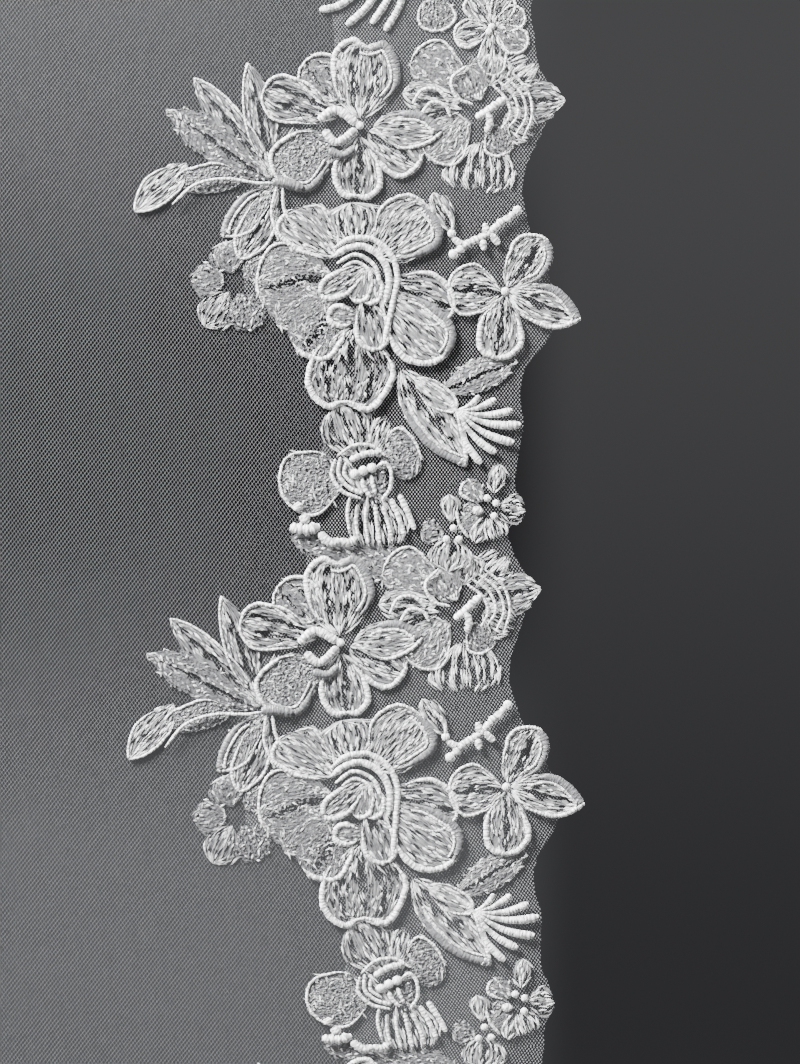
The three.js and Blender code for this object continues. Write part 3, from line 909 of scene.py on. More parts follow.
def add_band(work, line, widths, level, kind, height):
    """A raised band along a line of places, as wide at each place as given."""
    before = np.roll(line, 1, axis=0)
    after = np.roll(line, -1, axis=0)
    before[0] = line[0]
    after[-1] = line[-1]
    run = after - before
    run /= np.linalg.norm(run, axis=1, keepdims=True) + SHORTEST_STEP
    normal = np.stack([run[:, 1], -run[:, 0]], axis=1)
    steps = np.concatenate([[0], np.cumsum(np.linalg.norm(np.diff(line, axis=0), axis=1))])
    full = np.minimum(1, widths / max(widths.max(), NARROWEST)) ** 0.5
    rows = []
    marks = []
    for side, rise in BAND_SECTION:
        place = line + normal * (side * widths)[:, None]
        rows.append(np.column_stack([place, level + height * rise * full]))
        marks.append(np.stack([side * widths, steps], axis=1))
    points = np.stack(rows, axis=1).reshape(-1, 3)
    uv = np.stack(marks, axis=1).reshape(-1, 2) + line[0]
    work.add(points, grid_faces(len(line), len(BAND_SECTION)), uv, kind)


# Where a rim ends, how fast it narrows there and how far, when the other side has a rim and when not
RIM_ENDS = {True: (0.53, 12, 0.4), False: (0.62, 8, 0.2)}
RIM_START_TAPER = 9
RIM_START_WIDTH = 0.3
RIM_WIDTHS = (0.9, 1.08)
RIM_WANDER = 0.07
RIM_LIFT = 0.2
WIDE_RIM_HEIGHT = 0.6
THIN_RIM_HEIGHT = 0.4
INNER_CORD_OFFSET = 0.35
INNER_CORD_WIDTHS = (0.6, 0.95)
INNER_CORD_LIFT = 0.4
INNER_CORD_HEIGHT = 0.45


def add_rims(work, centre, shape, level, rng):
    """The bands along the two sides of a petal, each over its tip, and a thin cord inside a wide one."""
    for side, width in enumerate(shape.rims):
        if not width:
            continue
        line = petal_ring(centre, shape, width / 2)
        spot = np.linspace(0, 1, len(line))
        spot = spot if side == 0 else 1 - spot
        last, steepness, least = RIM_ENDS[shape.rims[1 - side] > 0]
        here = spot < last
        taper = np.clip(spot * RIM_START_TAPER, RIM_START_WIDTH, 1)
        taper = taper * np.clip((last - spot) * steepness, least, 1)
        widths = width * taper * rng.uniform(*RIM_WIDTHS, len(line))
        line = line + rng.normal(0, RIM_WANDER, line.shape)
        kind = "band" if width >= SATIN_WIDTH else "cord"
        height = WIDE_RIM_HEIGHT if width > 1 else THIN_RIM_HEIGHT
        add_band(work, line[here], widths[here], level + RIM_LIFT, kind, height)
        if width >= SATIN_WIDTH:
            inner = petal_ring(centre, shape, width + INNER_CORD_OFFSET)[here]
            widths = rng.uniform(*INNER_CORD_WIDTHS, len(inner))
            add_band(work, inner, widths, level + INNER_CORD_LIFT, "cord", INNER_CORD_HEIGHT)


# The rings of a knot, as shares of its radius and height, and how flat and how white a knot is
KNOT_RINGS = ((1.0, 0.0), (0.85, 0.55), (0.45, 0.9))
KNOT_SIDES = 8
KNOT_FLATNESS = 0.3
KNOT_TONE = 0.9


def add_knots(work, places, size, level):
    """Round padded knots."""
    ring = np.linspace(0, 2 * math.pi, KNOT_SIDES, endpoint=False)
    for right, down in places:
        rows = []
        for radius, height in KNOT_RINGS:
            rows.append(np.stack([
                right + size / 2 * radius * np.cos(ring), down + size / 2 * radius * np.sin(ring),
                np.full(KNOT_SIDES, level + height * size * KNOT_FLATNESS),
            ], axis=1))
        points = np.concatenate([*rows, [[right, down, level + size * KNOT_FLATNESS]]])
        faces = []
        for low in range(0, KNOT_SIDES * (len(rows) - 1), KNOT_SIDES):
            high = low + KNOT_SIDES
            for i in range(KNOT_SIDES):
                j = (i + 1) % KNOT_SIDES
                faces.append((low + i, low + j, high + j))
                faces.append((low + i, high + j, high + i))
        faces += [(high + i, high + (i + 1) % KNOT_SIDES, len(points) - 1) for i in range(KNOT_SIDES)]
        work.add(points, np.array(faces), points[:, :2], "stitch", KNOT_TONE)


# A cord: the step of its points, its blunt ends, its lumps, and its height for its width
LINE_STEP = 0.8
END_TAPER = 5
END_WIDTH = 0.5
LUMP_BEAT = 2.2
LUMP_DRIFT = 5
CORD_WIDTHS = (0.92, 1.08)
CORD_HEIGHT = 0.25
CORD_ROUNDNESS = 0.22


def smooth_line(places):
    """Places at even steps along a smooth curve through a few given ones."""
    given = np.array(places, float)
    points = np.concatenate([[2 * given[0] - given[1]], given, [2 * given[-1] - given[-2]]])
    parts = []
    for before, first, last, after in zip(points, points[1:], points[2:], points[3:]):
        count = max(2, int(np.linalg.norm(last - first) / LINE_STEP))
        t = np.linspace(0, 1, count, endpoint=False)[:, None]
        square = 2 * before - 5 * first + 4 * last - after
        cube = 3 * first - before - 3 * last + after
        parts.append(0.5 * (2 * first + (last - before) * t + square * t**2 + cube * t**3))
    return np.concatenate([*parts, given[-1:]])


def add_cord(work, places, width, level, rng, kind="cord", lumps=0.0):
    """A cord or satin strap laid along a smooth curve; lumps make it knotty."""
    line = smooth_line(places)
    spot = np.linspace(0, 1, len(line))
    ends = np.clip(np.sin(math.pi * spot) * END_TAPER, END_WIDTH, 1)
    beat = 1 + lumps * np.sin(LUMP_BEAT * np.arange(len(line)) + LUMP_DRIFT * spot)
    widths = width * ends * beat * rng.uniform(*CORD_WIDTHS, len(line))
    add_band(work, line, widths, level, kind, CORD_HEIGHT + CORD_ROUNDNESS * width)


# The flowers of one repeat. Each has its centre, right and down, and its petals from the lowest to the
# topmost. A petal points at an angle in degrees, up being 90, from its start to its reach.

FLOWERS = [
    # dense ground below the lower flower, which joins it to the repeat below
    ((-69.0, 78.6), [petal(-20, 0, 23, 7.5, "silk", belly=0.5, neck=0.4, end=0.4)]),
    ((-51.5, 82.5), [petal(-22, 0, 25, 12.5, "silk", belly=0.55, neck=0.5)]),
    # small flower at the inner side, under the rose
    ((-85.5, 3.0), [
        petal(105, 3, 13, 11, "silk"), petal(175, 3, 13, 11, "silk"), petal(235, 3, 16, 12, "streak"),
        petal(290, 3, 15, 12, "grain"), petal(35, 3, 13, 11, "grain"),
    ]),
    # leaves at the inner side
    ((-72.6, -26.7), [
        petal(107, 2, 37.5, 10.5, "streak", belly=0.55, end=0.9, bend=0.05, rims=(0.7, 0), lobes=2),
        petal(128.5, 2, 40.5, 9.5, "streak", belly=0.6, end=0.85, rims=(0, 0.7), lobes=2),
        petal(151, 3, 40, 12.5, "silk", belly=0.58, end=0.85, bend=0.08, lobes=2),
        petal(172, 10, 31, 9.5, "grain", belly=0.5, end=0.6, bend=-0.12, rims=(0, 0.8)),
        petal(217, 1, 23, 10, "grain", belly=0.55, end=0.8, bend=-0.1, rims=(0.9, 2.0)),
        petal(243, 1, 25.5, 11, "streak", belly=0.6, end=0.7, rims=(0.9, 0.9), lobes=2),
    ]),
    ((-99.9, -33.0), [petal(228, 0, 21.5, 10, "bright", belly=0.5, end=0.75, bend=0.08, rims=(0.8, 0.8))]),
    # open flower at the top right
    ((-10.5, -51.6), [
        petal(38, 6, 20, 13, "open"),
        petal(80, 5, 15, 15, "streak"),
        petal(144, 6, 26, 15, "silk", belly=0.7, end=0.45, rims=(0, 0.8)),
        petal(174, 7, 25, 11, "bright", lobes=3),
        petal(198, 7, 22, 10, "open", lobes=2),
        petal(224, 7, 24, 15, "silk", belly=0.65, rims=(0.8, 0)),
        petal(2, 6, 24.5, 14, "streak", belly=0.5, end=0.8, lobes=2),
        petal(-32, 7, 18, 14, "open"),
        petal(-94, 12, 27.5, 23, "open", belly=0.7, neck=0.4, end=0.42, lobes=5),
        petal(-70, 7, 17, 10, "grain", rims=(0, 0.8)),
        petal(128, 1, 12, 11.5, "silk", bend=0.2),
    ]),
    # upper flower
    ((-48.3, -44.4), [
        petal(127, 6, 25.5, 14, "silk", belly=0.7, rims=(0.8, 1.1), lobes=3),
        petal(160, 7, 31, 14.5, "streak", belly=0.72, neck=0.8, rims=(0.8, 1.1), lobes=3),
        petal(211, 8, 30, 18, "grain", belly=0.62, rims=(2.4, 1.4)),
        petal(-33, 3, 22, 15.5, "bright", belly=0.62, rims=(0, 1.6), lobes=2),
        petal(-4, 4, 25, 12, "bright", belly=0.5, end=0.75, rims=(2.5, 1.1)),
        petal(84, 2, 27.5, 21.5, "bright", belly=0.58, neck=0.7, rims=(1.8, 2.6), notch=0.13, lobes=3),
        petal(-92, 3, 23, 15.5, "streak", belly=0.62, rims=(1.8, 1.8), notch=0.06, lobes=2),
    ]),
    # leaves below the rose
    ((-24.0, 35.1), [petal(18, 0, 25, 10.5, "silk", belly=0.5, end=0.85, bend=-0.06, lobes=2)]),
    ((-36.0, 28.5), [
        petal(-58, 0, 35.5, 15, "bright", belly=0.5, end=0.95, rims=(1.5, 2.4), bend=-0.04, lobes=2),
        petal(-36, 5, 21, 8, "bright", belly=0.5, rims=(0.8, 0.8)),
    ]),
    # lower flower with a ring of knots
    ((-46.5, 58.5), [
        petal(193, 6, 26.5, 20, "grain", belly=0.6, rims=(0.9, 0.9)),
        petal(22, 5, 17.5, 16, "grain", belly=0.6, rims=(0.8, 0)),
        petal(68, 5, 17, 8, "open"),
        petal(113, 4, 21, 17.5, "bright", belly=0.62, lobes=4),
        petal(-77, 7, 25.5, 19, "open", belly=0.65, neck=0.5, end=0.42, lobes=5),
    ]),
    # the cup at its middle
    ((-44.8, 56.6), [petal(-80, 0, 12, 8.5, "grain", belly=0.5, neck=0.5)]),
    ((-54.0, 54.0), [petal(-92, 0, 12.5, 6.5, "bright", belly=0.5, neck=0.5, bend=-0.55)]),
    # two small flowers at the lower right
    ((-20.4, 77.4), [
        petal(178, 2.5, 9.5, 8, "grain"), petal(30, 2, 9, 7, "silk"), petal(95, 3, 11.5, 6.5, "bright"),
        petal(-95, 2, 12, 14.5, "bright", neck=0.4, lobes=4),
    ]),
    ((-9.0, 69.6), [
        petal(140, 2.5, 11, 7, "silk", rims=(1.0, 0)), petal(205, 2, 8.5, 8, "grain"),
        petal(-8, 3, 11, 10.5, "streak", neck=0.5, lobes=3), petal(76, 4, 13, 7, "bright", end=0.4),
        petal(-112, 3.5, 12, 6, "bright", neck=0.4), petal(-76, 3.5, 11, 9, "open", neck=0.4, lobes=3),
    ]),
    # the rose
    ((-48.6, 0.0), [
        petal(188, 8, 31, 25, "silk", belly=0.55, rims=(0, 0.9), lobes=2),
        petal(212, 9, 29, 16, "silk", belly=0.6),
        petal(234, 10, 30, 18, "grain", belly=0.6, rims=(1.6, 0), lobes=2),
        petal(96, 9, 21.5, 24, "bright", belly=0.75, neck=0.4, end=0.35, lobes=6),
        petal(130, 9, 26, 11, "bright", belly=0.7, lobes=3),
        petal(144, 8, 29, 12, "bright", belly=0.75, end=0.35, rims=(1.4, 0)),
        petal(43, 7, 29.5, 20.5, "bright", belly=0.66, end=0.38, rims=(1.1, 2.7)),
        petal(-20, 8, 31, 16, "streak", belly=0.6, rims=(1.5, 0.9), lobes=2),
        petal(-43, 9, 36.5, 19, "bright", belly=0.65, rims=(2.4, 1.8)),
        petal(-95, 16, 42.5, 27, "streak", belly=0.5, end=0.4, rims=(1.9, 1.9), notch=0.12, lobes=4),
        petal(-76, 7, 24, 11, "streak", rims=(1.4, 1.4)),
    ]),
    # the curls at the rose's heart
    ((-48.0, 13.2), [petal(176, 0, 10.5, 7.5, "silk", rims=(1.7, 1.7))]),
    ((-45.6, -2.4), [
        petal(-112, 0, 12, 8, "streak", rims=(1.3, 0)),
        petal(-88, 0, 12, 9, "streak", rims=(1.3, 0)),
        petal(212, 0, 17.5, 8.5, "streak", rims=(1.6, 1.6)),
    ]),
    # pointed flower at the right
    ((-4.5, 5.1), [
        petal(178, 1, 17.5, 16, "streak", belly=0.6, rims=(0.9, 0.9), lobes=2),
        petal(53, 1, 20.5, 14, "streak", belly=0.62, end=0.6, rims=(1.2, 2.3), lobes=2),
        petal(-20, 1, 24.5, 13, "bright", belly=0.52, end=0.85, rims=(2.4, 1.4), lobes=2),
        petal(-97, 1, 21, 14.5, "streak", belly=0.65, rims=(1.8, 1.8), lobes=2),
    ]),
    # bud above the rose
    ((-20.0, -12.5), [petal(117, 0, 13.5, 7.5, "bright", belly=0.6, lobes=2)]),
]

CORDS = [
    # places and width, then the kind and how lumpy it is, unless it is a plain cord
    # the eye of the upper flower
    ([(-60.6, -45.9), (-55.2, -48.9), (-48.9, -44.7)], 2.6),
    ([(-59.1, -42.9), (-55.2, -39.3), (-49.2, -43.2)], 2.4),
    ([(-57.6, -36.9), (-53.4, -35.4), (-49.8, -37.5)], 2.4, "band", 0.0),
    # the arcs at the rose's heart
    ([(-56.4, -5.0), (-51.6, -7.7), (-46.5, -8.0), (-41.6, -4.4), (-39.4, 1.5), (-40.6, 8.6)],
     2.0),
    ([(-56.1, -7.5), (-51, -10.4), (-44.1, -10.2), (-38.7, -5.4), (-36.9, 0.9), (-37.8, 6.3),
      (-41.1, 21.6)], 1.7),
    ([(-55.2, -3.0), (-49.4, -5.7), (-43.8, -2.4), (-42.2, 3.2)], 1.2),
    ([(-53.4, -1.8), (-49.4, -3.5), (-45.8, -1.4), (-44.6, 1.6)], 1.0),
    # twig with its nubs
    ([(-20.1, -6.0), (-15, -9.6), (-10.2, -11.7), (-6, -15.3), (-3.0, -17.2), (-0.8, -19.2)],
     2.3, "cord", 0.25),
    ([(-20.4, -10.8), (-18.2, -9.4), (-16.6, -8.8)], 2.0, "cord", 0.15),
    ([(-10.2, -11.7), (-10.4, -15.3)], 2.2, "cord", 0.15),
    ([(-11.4, -10.8), (-10.8, -7.2)], 2.2, "cord", 0.15),
    ([(-9.0, -12.3), (-6.3, -9.0)], 2.2, "cord", 0.15),
    # hooks, knotted cords and thread arcs of the open flower
    ([(-13.2, -46.8), (-9.6, -49.2), (-4.5, -52.8)], 2.3, "cord", 0.22),
    ([(-10.5, -49.5), (-9.0, -45.9), (-10.2, -42.6)], 2.2, "cord", 0.2),
    ([(-32.4, -51), (-29.4, -55.2), (-24.6, -55.2), (-21.6, -51.6)], 1.1),
    ([(-29.4, -48.6), (-26.4, -51.6), (-22.5, -50.4), (-21, -47.4)], 1.1),
    ([(-6.6, -58.2), (-1.8, -53.4), (-0.6, -48), (-3.6, -43.8)], 0.8),
    ([(-4.5, -59.4), (0.6, -54), (1.8, -47.4), (-1.2, -42)], 0.8),
    ([(-16.2, -62.4), (-20.6, -58.5), (-19.2, -53.1), (-14.4, -51.0)], 1.0),
    ([(-2.4, -60.6), (2.6, -54.6), (3.6, -47.4), (0.8, -40.6)], 0.8),
    ([(-8.4, -57), (-4.2, -52.6), (-3.0, -48), (-5.6, -43.6)], 0.8),
    # ring of the lower flower
    ([(-55.6, 55.6), (-56.6, 60.5), (-53.4, 65.2), (-48.0, 67.4)], 1.1),
    ([(-54.0, 55.0), (-54.6, 60.0), (-51.6, 64.0), (-47.4, 65.8)], 1.2),
    ([(-52.4, 56.6), (-52.8, 60.2), (-50.0, 63.2)], 1.0),
    ([(-55, 54.6), (-50, 51.4), (-44.5, 51.6), (-40.8, 54.4)], 1.0),
    ([(-51.2, 55.8), (-46.6, 54.0), (-42.0, 53.6)], 1.8, "cord", 0.2),
    ([(-47.6, 61.6), (-46.8, 64.4), (-45.0, 66.8)], 1.3, "cord", 0.1),
    ([(-44.8, 60.4), (-44.2, 63.4), (-43.4, 66.0)], 1.2, "cord", 0.1),
    ([(-43.2, 57.8), (-40.6, 56.6), (-38.8, 59.4), (-39.2, 64.4), (-41.6, 67.6)], 1.1),
    # long stitches that hang from it
    ([(-36.4, 66.2), (-34.0, 71.0), (-31.8, 76.5)], 1.7, "cord", 0.05),
    ([(-38.8, 67.4), (-36.8, 72.4), (-34.8, 78.5)], 1.5, "cord", 0.05),
    ([(-41.2, 69.6), (-39.8, 74.4), (-38.4, 80.0)], 1.2, "cord", 0.05),
    ([(-43.6, 69.2), (-43.1, 74.4), (-42.2, 80.6)], 1.2, "cord", 0.05),
    ([(-46.4, 69.6), (-46.5, 74.8), (-45.6, 80.6)], 1.0, "cord", 0.05),
    ([(-49.0, 69.2), (-49.4, 74.2), (-48.6, 79.8)], 1.0, "cord", 0.05),
    ([(-51.2, 67.0), (-52.0, 71.6), (-51.2, 77.6)], 1.0, "cord", 0.05),
    # lumps and scallops of the chain
    ([(-67.4, 68.6), (-66.2, 70.8)], 3.0, "cord", 0.1),
    ([(-66.0, 72.4), (-63.6, 74.4)], 3.0, "cord", 0.1),
    ([(-69.2, 76.0), (-64.5, 76.6), (-60.3, 75.8)], 3.2, "cord", 0.3),
    ([(-60.3, 77.6), (-57.4, 80.4), (-53.8, 80.2)], 2.6, "cord", 0.2),
    ([(-54.4, 79.8), (-51.6, 80.6), (-49.0, 79.2)], 2.4, "cord", 0.2),
    # lower right flowers
    ([(-19.0, 71.4), (-18.2, 75.0), (-15.6, 79.0)], 0.9),
    ([(-14.4, 70.4), (-11.4, 71.4)], 2.6, "cord", 0.1),
    # where the inner leaves meet
    ([(-74.4, -27.3), (-69.9, -27), (-65.4, -25.5)], 3.0, "band", 0.0),
    ([(-104.4, -20.4), (-97.5, -26.4), (-88.5, -28.2), (-79.5, -27), (-73.8, -27)], 0.9),
    ([(-73.2, -25.8), (-74.7, -18), (-72.6, -9.9)], 0.9),
    ([(-71.4, -25.5), (-70.8, -18.6), (-66.9, -12.6)], 0.9),
    # stem of the bud
    ([(-23.4, -21), (-20.4, -15.6), (-21, -11.1)], 0.9),
]

KNOTS = [
    # places of the round knots, and their size
    ([(-48.3, -44.4), (-4.5, 5.1), (-20.6, -12.2)], 2.6),
    ([(-0.8, -19.2), (-20.1, -6.0)], 3.0),
    ([(-49.8, 60.0), (-47.2, 59.0), (-44.6, 58.2)], 3.1),
    ([(-9.9, 67.2), (-7.2, 68.7), (-7.8, 72.6), (-20.1, 76.2), (-22.2, 79.5), (-18.4, 79.5)], 2.3),
]

# The frond: its root, and its satin fingers as angle, length and width
FROND_ROOT = (-18.9, 40.8)
FRONDS = [(32, 8, 1.9), (16, 12, 2.1), (0, 16.5, 2.3), (-13, 19.5, 2.6), (-30, 19.6, 2.5),
          (-48, 17.2, 2.3), (-66, 17.5, 2.2)]
FROND_POINTS = 14
FROND_BOW = 0.09
FROND_HEIGHT = 0.7
# How wide a finger is, at shares of its length
FROND_GROWTH = ((0, 0.35, 0.7, 0.95, 1), (0.3, 0.55, 0.95, 1.0, 0.6))

# The end of the piece above, as it shows at the top: places are those of the piece below it
UPPER_FLOWERS = [
    ((-26.0, -86.0), [petal(-84, 2, 13.5, 12, "grain", belly=0.6, rims=(0.9, 0.9))]),
    ((-8.4, -74.4), [
        petal(128, 1, 11.5, 8, "streak", rims=(1.0, 1.0), lobes=2),
        petal(60, 1, 11, 8, "streak", rims=(0.8, 0.8)),
        petal(22, 1, 11, 8, "grain", rims=(0.8, 0.8)),
        petal(197, 1, 12, 9, "bright", rims=(1.0, 0.9), lobes=3),
        petal(-30, 1, 12.5, 9, "silk", rims=(0.9, 0.9)),
        petal(-88, 1, 15, 9, "bright", rims=(0.8, 0.8), lobes=3),
    ]),
]
UPPER_CORDS = [
    ([(-47, -86), (-54, -80.5), (-60.3, -78.9)], 2.2),
    ([(-41, -87), (-46.5, -79.5), (-52.2, -74.4)], 2.2),
    ([(-37.5, -87), (-40.8, -80.5), (-44.7, -75)], 2.1),
    ([(-34.5, -85.5), (-36.6, -79.5), (-40.5, -72.9)], 2.0),
]
UPPER_KNOTS = [([(-8.4, -74.4), (-9.2, -72.9)], 2.3)]

MOTIF_LEVEL = 0.12
CORD_LIFT = 0.2
NOISE_RANGE = 400
REPEAT_SEED = 7
UPPER_SEED = 11


def stitch_motifs(flowers, cords, knots, fronds, seed):
    """Flat stitched motifs: points as right, down and height, with their faces and values."""
    rng = np.random.default_rng(seed)
    work = LaceWork()
    shapes = [(centre, shape) for centre, petals in flowers for shape in petals]
    outlines = [petal_ring(centre, shape, 0.0) for centre, shape in shapes]
    for number, (centre, shape) in enumerate(shapes):
        level = MOTIF_LEVEL + RISE * number
        add_fill(work, centre, shape, level, rng.uniform(0, NOISE_RANGE, 2))
        add_stitches(work, centre, shape, level, outlines[number + 1:], rng)
        add_rims(work, centre, shape, level, rng)
    top = MOTIF_LEVEL + RISE * len(shapes)
    for places, width, *rest in cords:
        add_cord(work, places, width, top + CORD_LIFT, rng, *rest)
    for angle, length, width in fronds:
        turn = math.radians(angle)
        share = np.linspace(0, 1, FROND_POINTS)
        bow = FROND_BOW * length * np.sin(math.pi * share)
        line = np.stack([
            FROND_ROOT[0] + length * share * math.cos(turn) + bow * math.sin(turn),
            FROND_ROOT[1] - length * share * math.sin(turn) + bow * math.cos(turn),
        ], axis=1)
        add_band(work, line, width * np.interp(share, *FROND_GROWTH), top, "cord", FROND_HEIGHT)
    for places, size in knots:
        add_knots(work, places, size, top + CORD_LIFT)
    return work


def lay_work(work, lay, middle):
    """Where the points of a flat work fall on the cut, and their heights above it."""
    points = np.concatenate(work.points)
    run = -points[:, 1] if lay.flipped else points[:, 1]
    along, inward = turned(run, -points[:, 0] - TURN_CENTRE, math.radians(lay.turn))
    return middle + along, inward, points[:, 2]


def make_lace(number, work, extra, materials):
    """One lace piece laid along the free edge, in place of its plain plate."""
    half_count = (LACE_COUNT + 1) // 2
    mirrored = number > half_count
    order = LACE_COUNT + 1 - number if mirrored else number
    lay = LAYS[order - 1]
    middle = (order - 0.5) * LACE_REPEAT
    ground_along, ground_inward, ground_uv, ground_faces = ground_net(order - 1)
    ground_heights = np.zeros(len(ground_along))
    layers_of_work = [(middle + ground_along, ground_inward, ground_heights)]
    works = [(work, lay, middle)]
    if extra:
        works.append((extra, Lay(0, False), middle + LACE_REPEAT))
    layers_of_work += [lay_work(*each) for each in works]
    faces = [ground_faces[:, ::-1] if mirrored else ground_faces]
    kinds = [np.full(len(ground_faces), MATERIAL_NUMBERS["ground"])]
    uv = [ground_uv]
    values = [np.zeros((len(ground_along), 3))]
    shift = len(ground_along)
    for stitched, its_lay, _ in works:
        backwards = mirrored == its_lay.flipped
        faces += [(group[:, ::-1] if backwards else group) + shift for group in stitched.faces]
        kinds += stitched.kinds
        uv += stitched.uv
        values += stitched.values
        shift += stitched.count
    distance, inward, height = (np.concatenate(parts) for parts in zip(*layers_of_work))
    u, v = edge_point(distance, inward)
    places = on_cloth(-u if mirrored else u, v, LACE_LIFT + height)
    values = np.concatenate(values)
    layers = [("tone", values[:, 0]), ("grain", values[:, 1]), ("gaps", values[:, 2])]
    listed = sum((group.tolist() for group in faces), [])
    name = f"lace_trim_{number:02d}"
    return mesh_object(name, places, listed, np.concatenate(kinds), materials, np.concatenate(uv), layers)


# The comb, in metres: a bar with teeth, and the loops of thread that sew the gathered edge to it

BAR_SIZE = (0.090, 0.004, 0.003)
BAR_ROUNDING = 0.0009
TOOTH_COUNT = 18
TOOTH_LENGTH = 0.038
TOOTH_WIDTH = 0.0017
TOOTH_ROOT = 0.0024
TOOTH_TIP = 0.0009
TOOTH_BOW = 0.005
TOOTH_STEPS = 7
TOOTH_ROUNDING = 0.0004
END_MARGIN = 0.001
LOOP_COUNT = 27
LOOP_RUN = 0.082
LOOP_RADIUS = 0.0029
THREAD_RADIUS = 0.00022
LOOP_FLATTEN = 0.9
LOOP_SEGMENTS = 18
THREAD_SIDES = 6
SMOOTH_ANGLE = math.radians(50)
COMB_GRAIN = 60


def apply_bevel(piece, width, segments):
    bevel = piece.modifiers.new("rounding", "BEVEL")
    bevel.width = width
    bevel.segments = segments
    bpy.ops.object.modifier_apply(modifier="rounding")
    bpy.ops.object.shade_smooth_by_angle(angle=SMOOTH_ANGLE)


def make_bar():
    bpy.ops.mesh.primitive_cube_add(size=1)
    bar = bpy.context.object
    bar.scale = BAR_SIZE
    bpy.ops.object.transform_apply(location=False, rotation=False, scale=True)
    apply_bevel(bar, BAR_ROUNDING, 3)
    return bar


def make_tooth():
    """One tooth: a short block drawn out downwards step by step, bowing outwards and narrowing to its tip."""
    bpy.ops.mesh.primitive_cube_add(size=1)
    tooth = bpy.context.object
    step = TOOTH_LENGTH / TOOTH_STEPS
    tooth.scale = (TOOTH_WIDTH, TOOTH_ROOT, BAR_SIZE[2] / 2)
    bpy.ops.object.transform_apply(location=False, rotation=False, scale=True)
    bpy.ops.object.mode_set(mode="EDIT")
    bpy.ops.mesh.select_mode(type="FACE")
    bpy.ops.mesh.select_all(action="DESELECT")
    bpy.ops.object.mode_set(mode="OBJECT")
    lowest = min(tooth.data.polygons, key=lambda face: face.center.z)
    lowest.select = True
    bpy.ops.object.mode_set(mode="EDIT")
    bow = 0.0
    depth = TOOTH_ROOT
    for number in range(1, TOOTH_STEPS + 1):
        share = number / TOOTH_STEPS
        next_bow = TOOTH_BOW * math.sin(share * math.pi / 2)
        next_depth = TOOTH_ROOT + (TOOTH_TIP - TOOTH_ROOT) * share
        bpy.ops.mesh.extrude_region_move(TRANSFORM_OT_translate={"value": (0, next_bow - bow, -step)})
        centre = (0, next_bow, -BAR_SIZE[2] / 4 - step * number)
        bpy.ops.transform.resize(value=(1, next_depth / depth, 1), center_override=centre)
        bow = next_bow
        depth = next_depth
    bpy.ops.object.mode_set(mode="OBJECT")
    apply_bevel(tooth, TOOTH_ROUNDING, 2)
    return tooth


def copy_of(piece, place):
    """A copy with a mesh of its own, moved to its place."""
    bpy.ops.object.select_all(action="DESELECT")
    piece.select_set(True)
    bpy.context.view_layer.objects.active = piece
    bpy.ops.object.duplicate()
    bpy.ops.transform.translate(value=place)
    return bpy.context.object


def join_all(pieces, name):
    bpy.ops.object.select_all(action="DESELECT")
    for piece in pieces:
        piece.select_set(True)
    bpy.context.view_layer.objects.active = pieces[0]
    bpy.ops.object.join()
    bpy.ops.object.transform_apply(location=True, rotation=True, scale=True)
    joined = bpy.context.object
    joined.name = name
    joined.data.name = name
    return joined


def make_comb(material):
    bar = make_bar()
    tooth = make_tooth()
    pitch = (BAR_SIZE[0] - 2 * TOOTH_WIDTH - 2 * END_MARGIN) / (TOOTH_COUNT - 1)
    run = pitch * (TOOTH_COUNT - 1)
    teeth = [copy_of(tooth, (pitch * i - run / 2, 0, 0)) for i in range(TOOTH_COUNT)]
    bpy.data.objects.remove(tooth)
    comb = join_all([bar, *teeth], "hair_comb")
    comb.data.materials.append(material)
    return comb


def make_sewing(material):
    """Loops of sewing thread round the bar, through the gathered edge."""
    bpy.ops.mesh.primitive_torus_add(
        major_segments=LOOP_SEGMENTS, minor_segments=THREAD_SIDES, major_radius=LOOP_RADIUS,
        minor_radius=THREAD_RADIUS, rotation=(0, math.pi / 2, 0),
    )
    loop = bpy.context.object
    loop.scale = (LOOP_FLATTEN, 1, 1)
    bpy.ops.object.transform_apply(location=False, rotation=True, scale=True)
    bpy.ops.object.shade_smooth()
    pitch = LOOP_RUN / (LOOP_COUNT - 1)
    loops = [copy_of(loop, (pitch * i - LOOP_RUN / 2, 0, 0)) for i in range(LOOP_COUNT)]
    bpy.data.objects.remove(loop)
    sewing = join_all(loops, "gather_sewing")
    sewing.data.materials.append(material)
    return sewing


# Stage, light and camera


FLOOR_SIZE = 10
FLOOR_HEIGHT = -1.6
FLOOR_GRAIN = 1.5
BEAM = math.radians(44)
EVERYWHERE = math.radians(180)
VEIL_MIDDLE = (0, 0, -0.5)

# Lights near the camera: metres before the aim, to its right and above it, then size, watts and beam
NEAR_LIGHTS = {
    "window": (0.75, -0.9, 1.2, 0.7, 26, BEAM),
    "fill": (1.5, 0.9, -0.1, 1.2, 14, EVERYWHERE),
}
# Lights for the views from all round: place, aim, size, watts and beam
ROUND_LIGHTS = {
    "ceiling": ((0, 0, 1.9), (0, 0, -0.6), 2.6, 14, EVERYWHERE),
    "front": ((0.6, -3.0, -0.45), VEIL_MIDDLE, 1.6, 16, BEAM),
    "back": ((0.5, 3.0, -0.45), VEIL_MIDDLE, 1.6, 13, BEAM),
}

# The camera looks at the left front's lace from outside, level, with the photograph's height in view
VIEW_TURN = math.radians(25)
VIEW_DISTANCE = 1500.0
VIEW_HEIGHT = 319.2
VIEW_INWARD = 36.0
VIEW_DOWN = 593.6
SENSOR = 36.0
LOOK = (math.cos(VIEW_TURN), -math.sin(VIEW_TURN), 0.0)

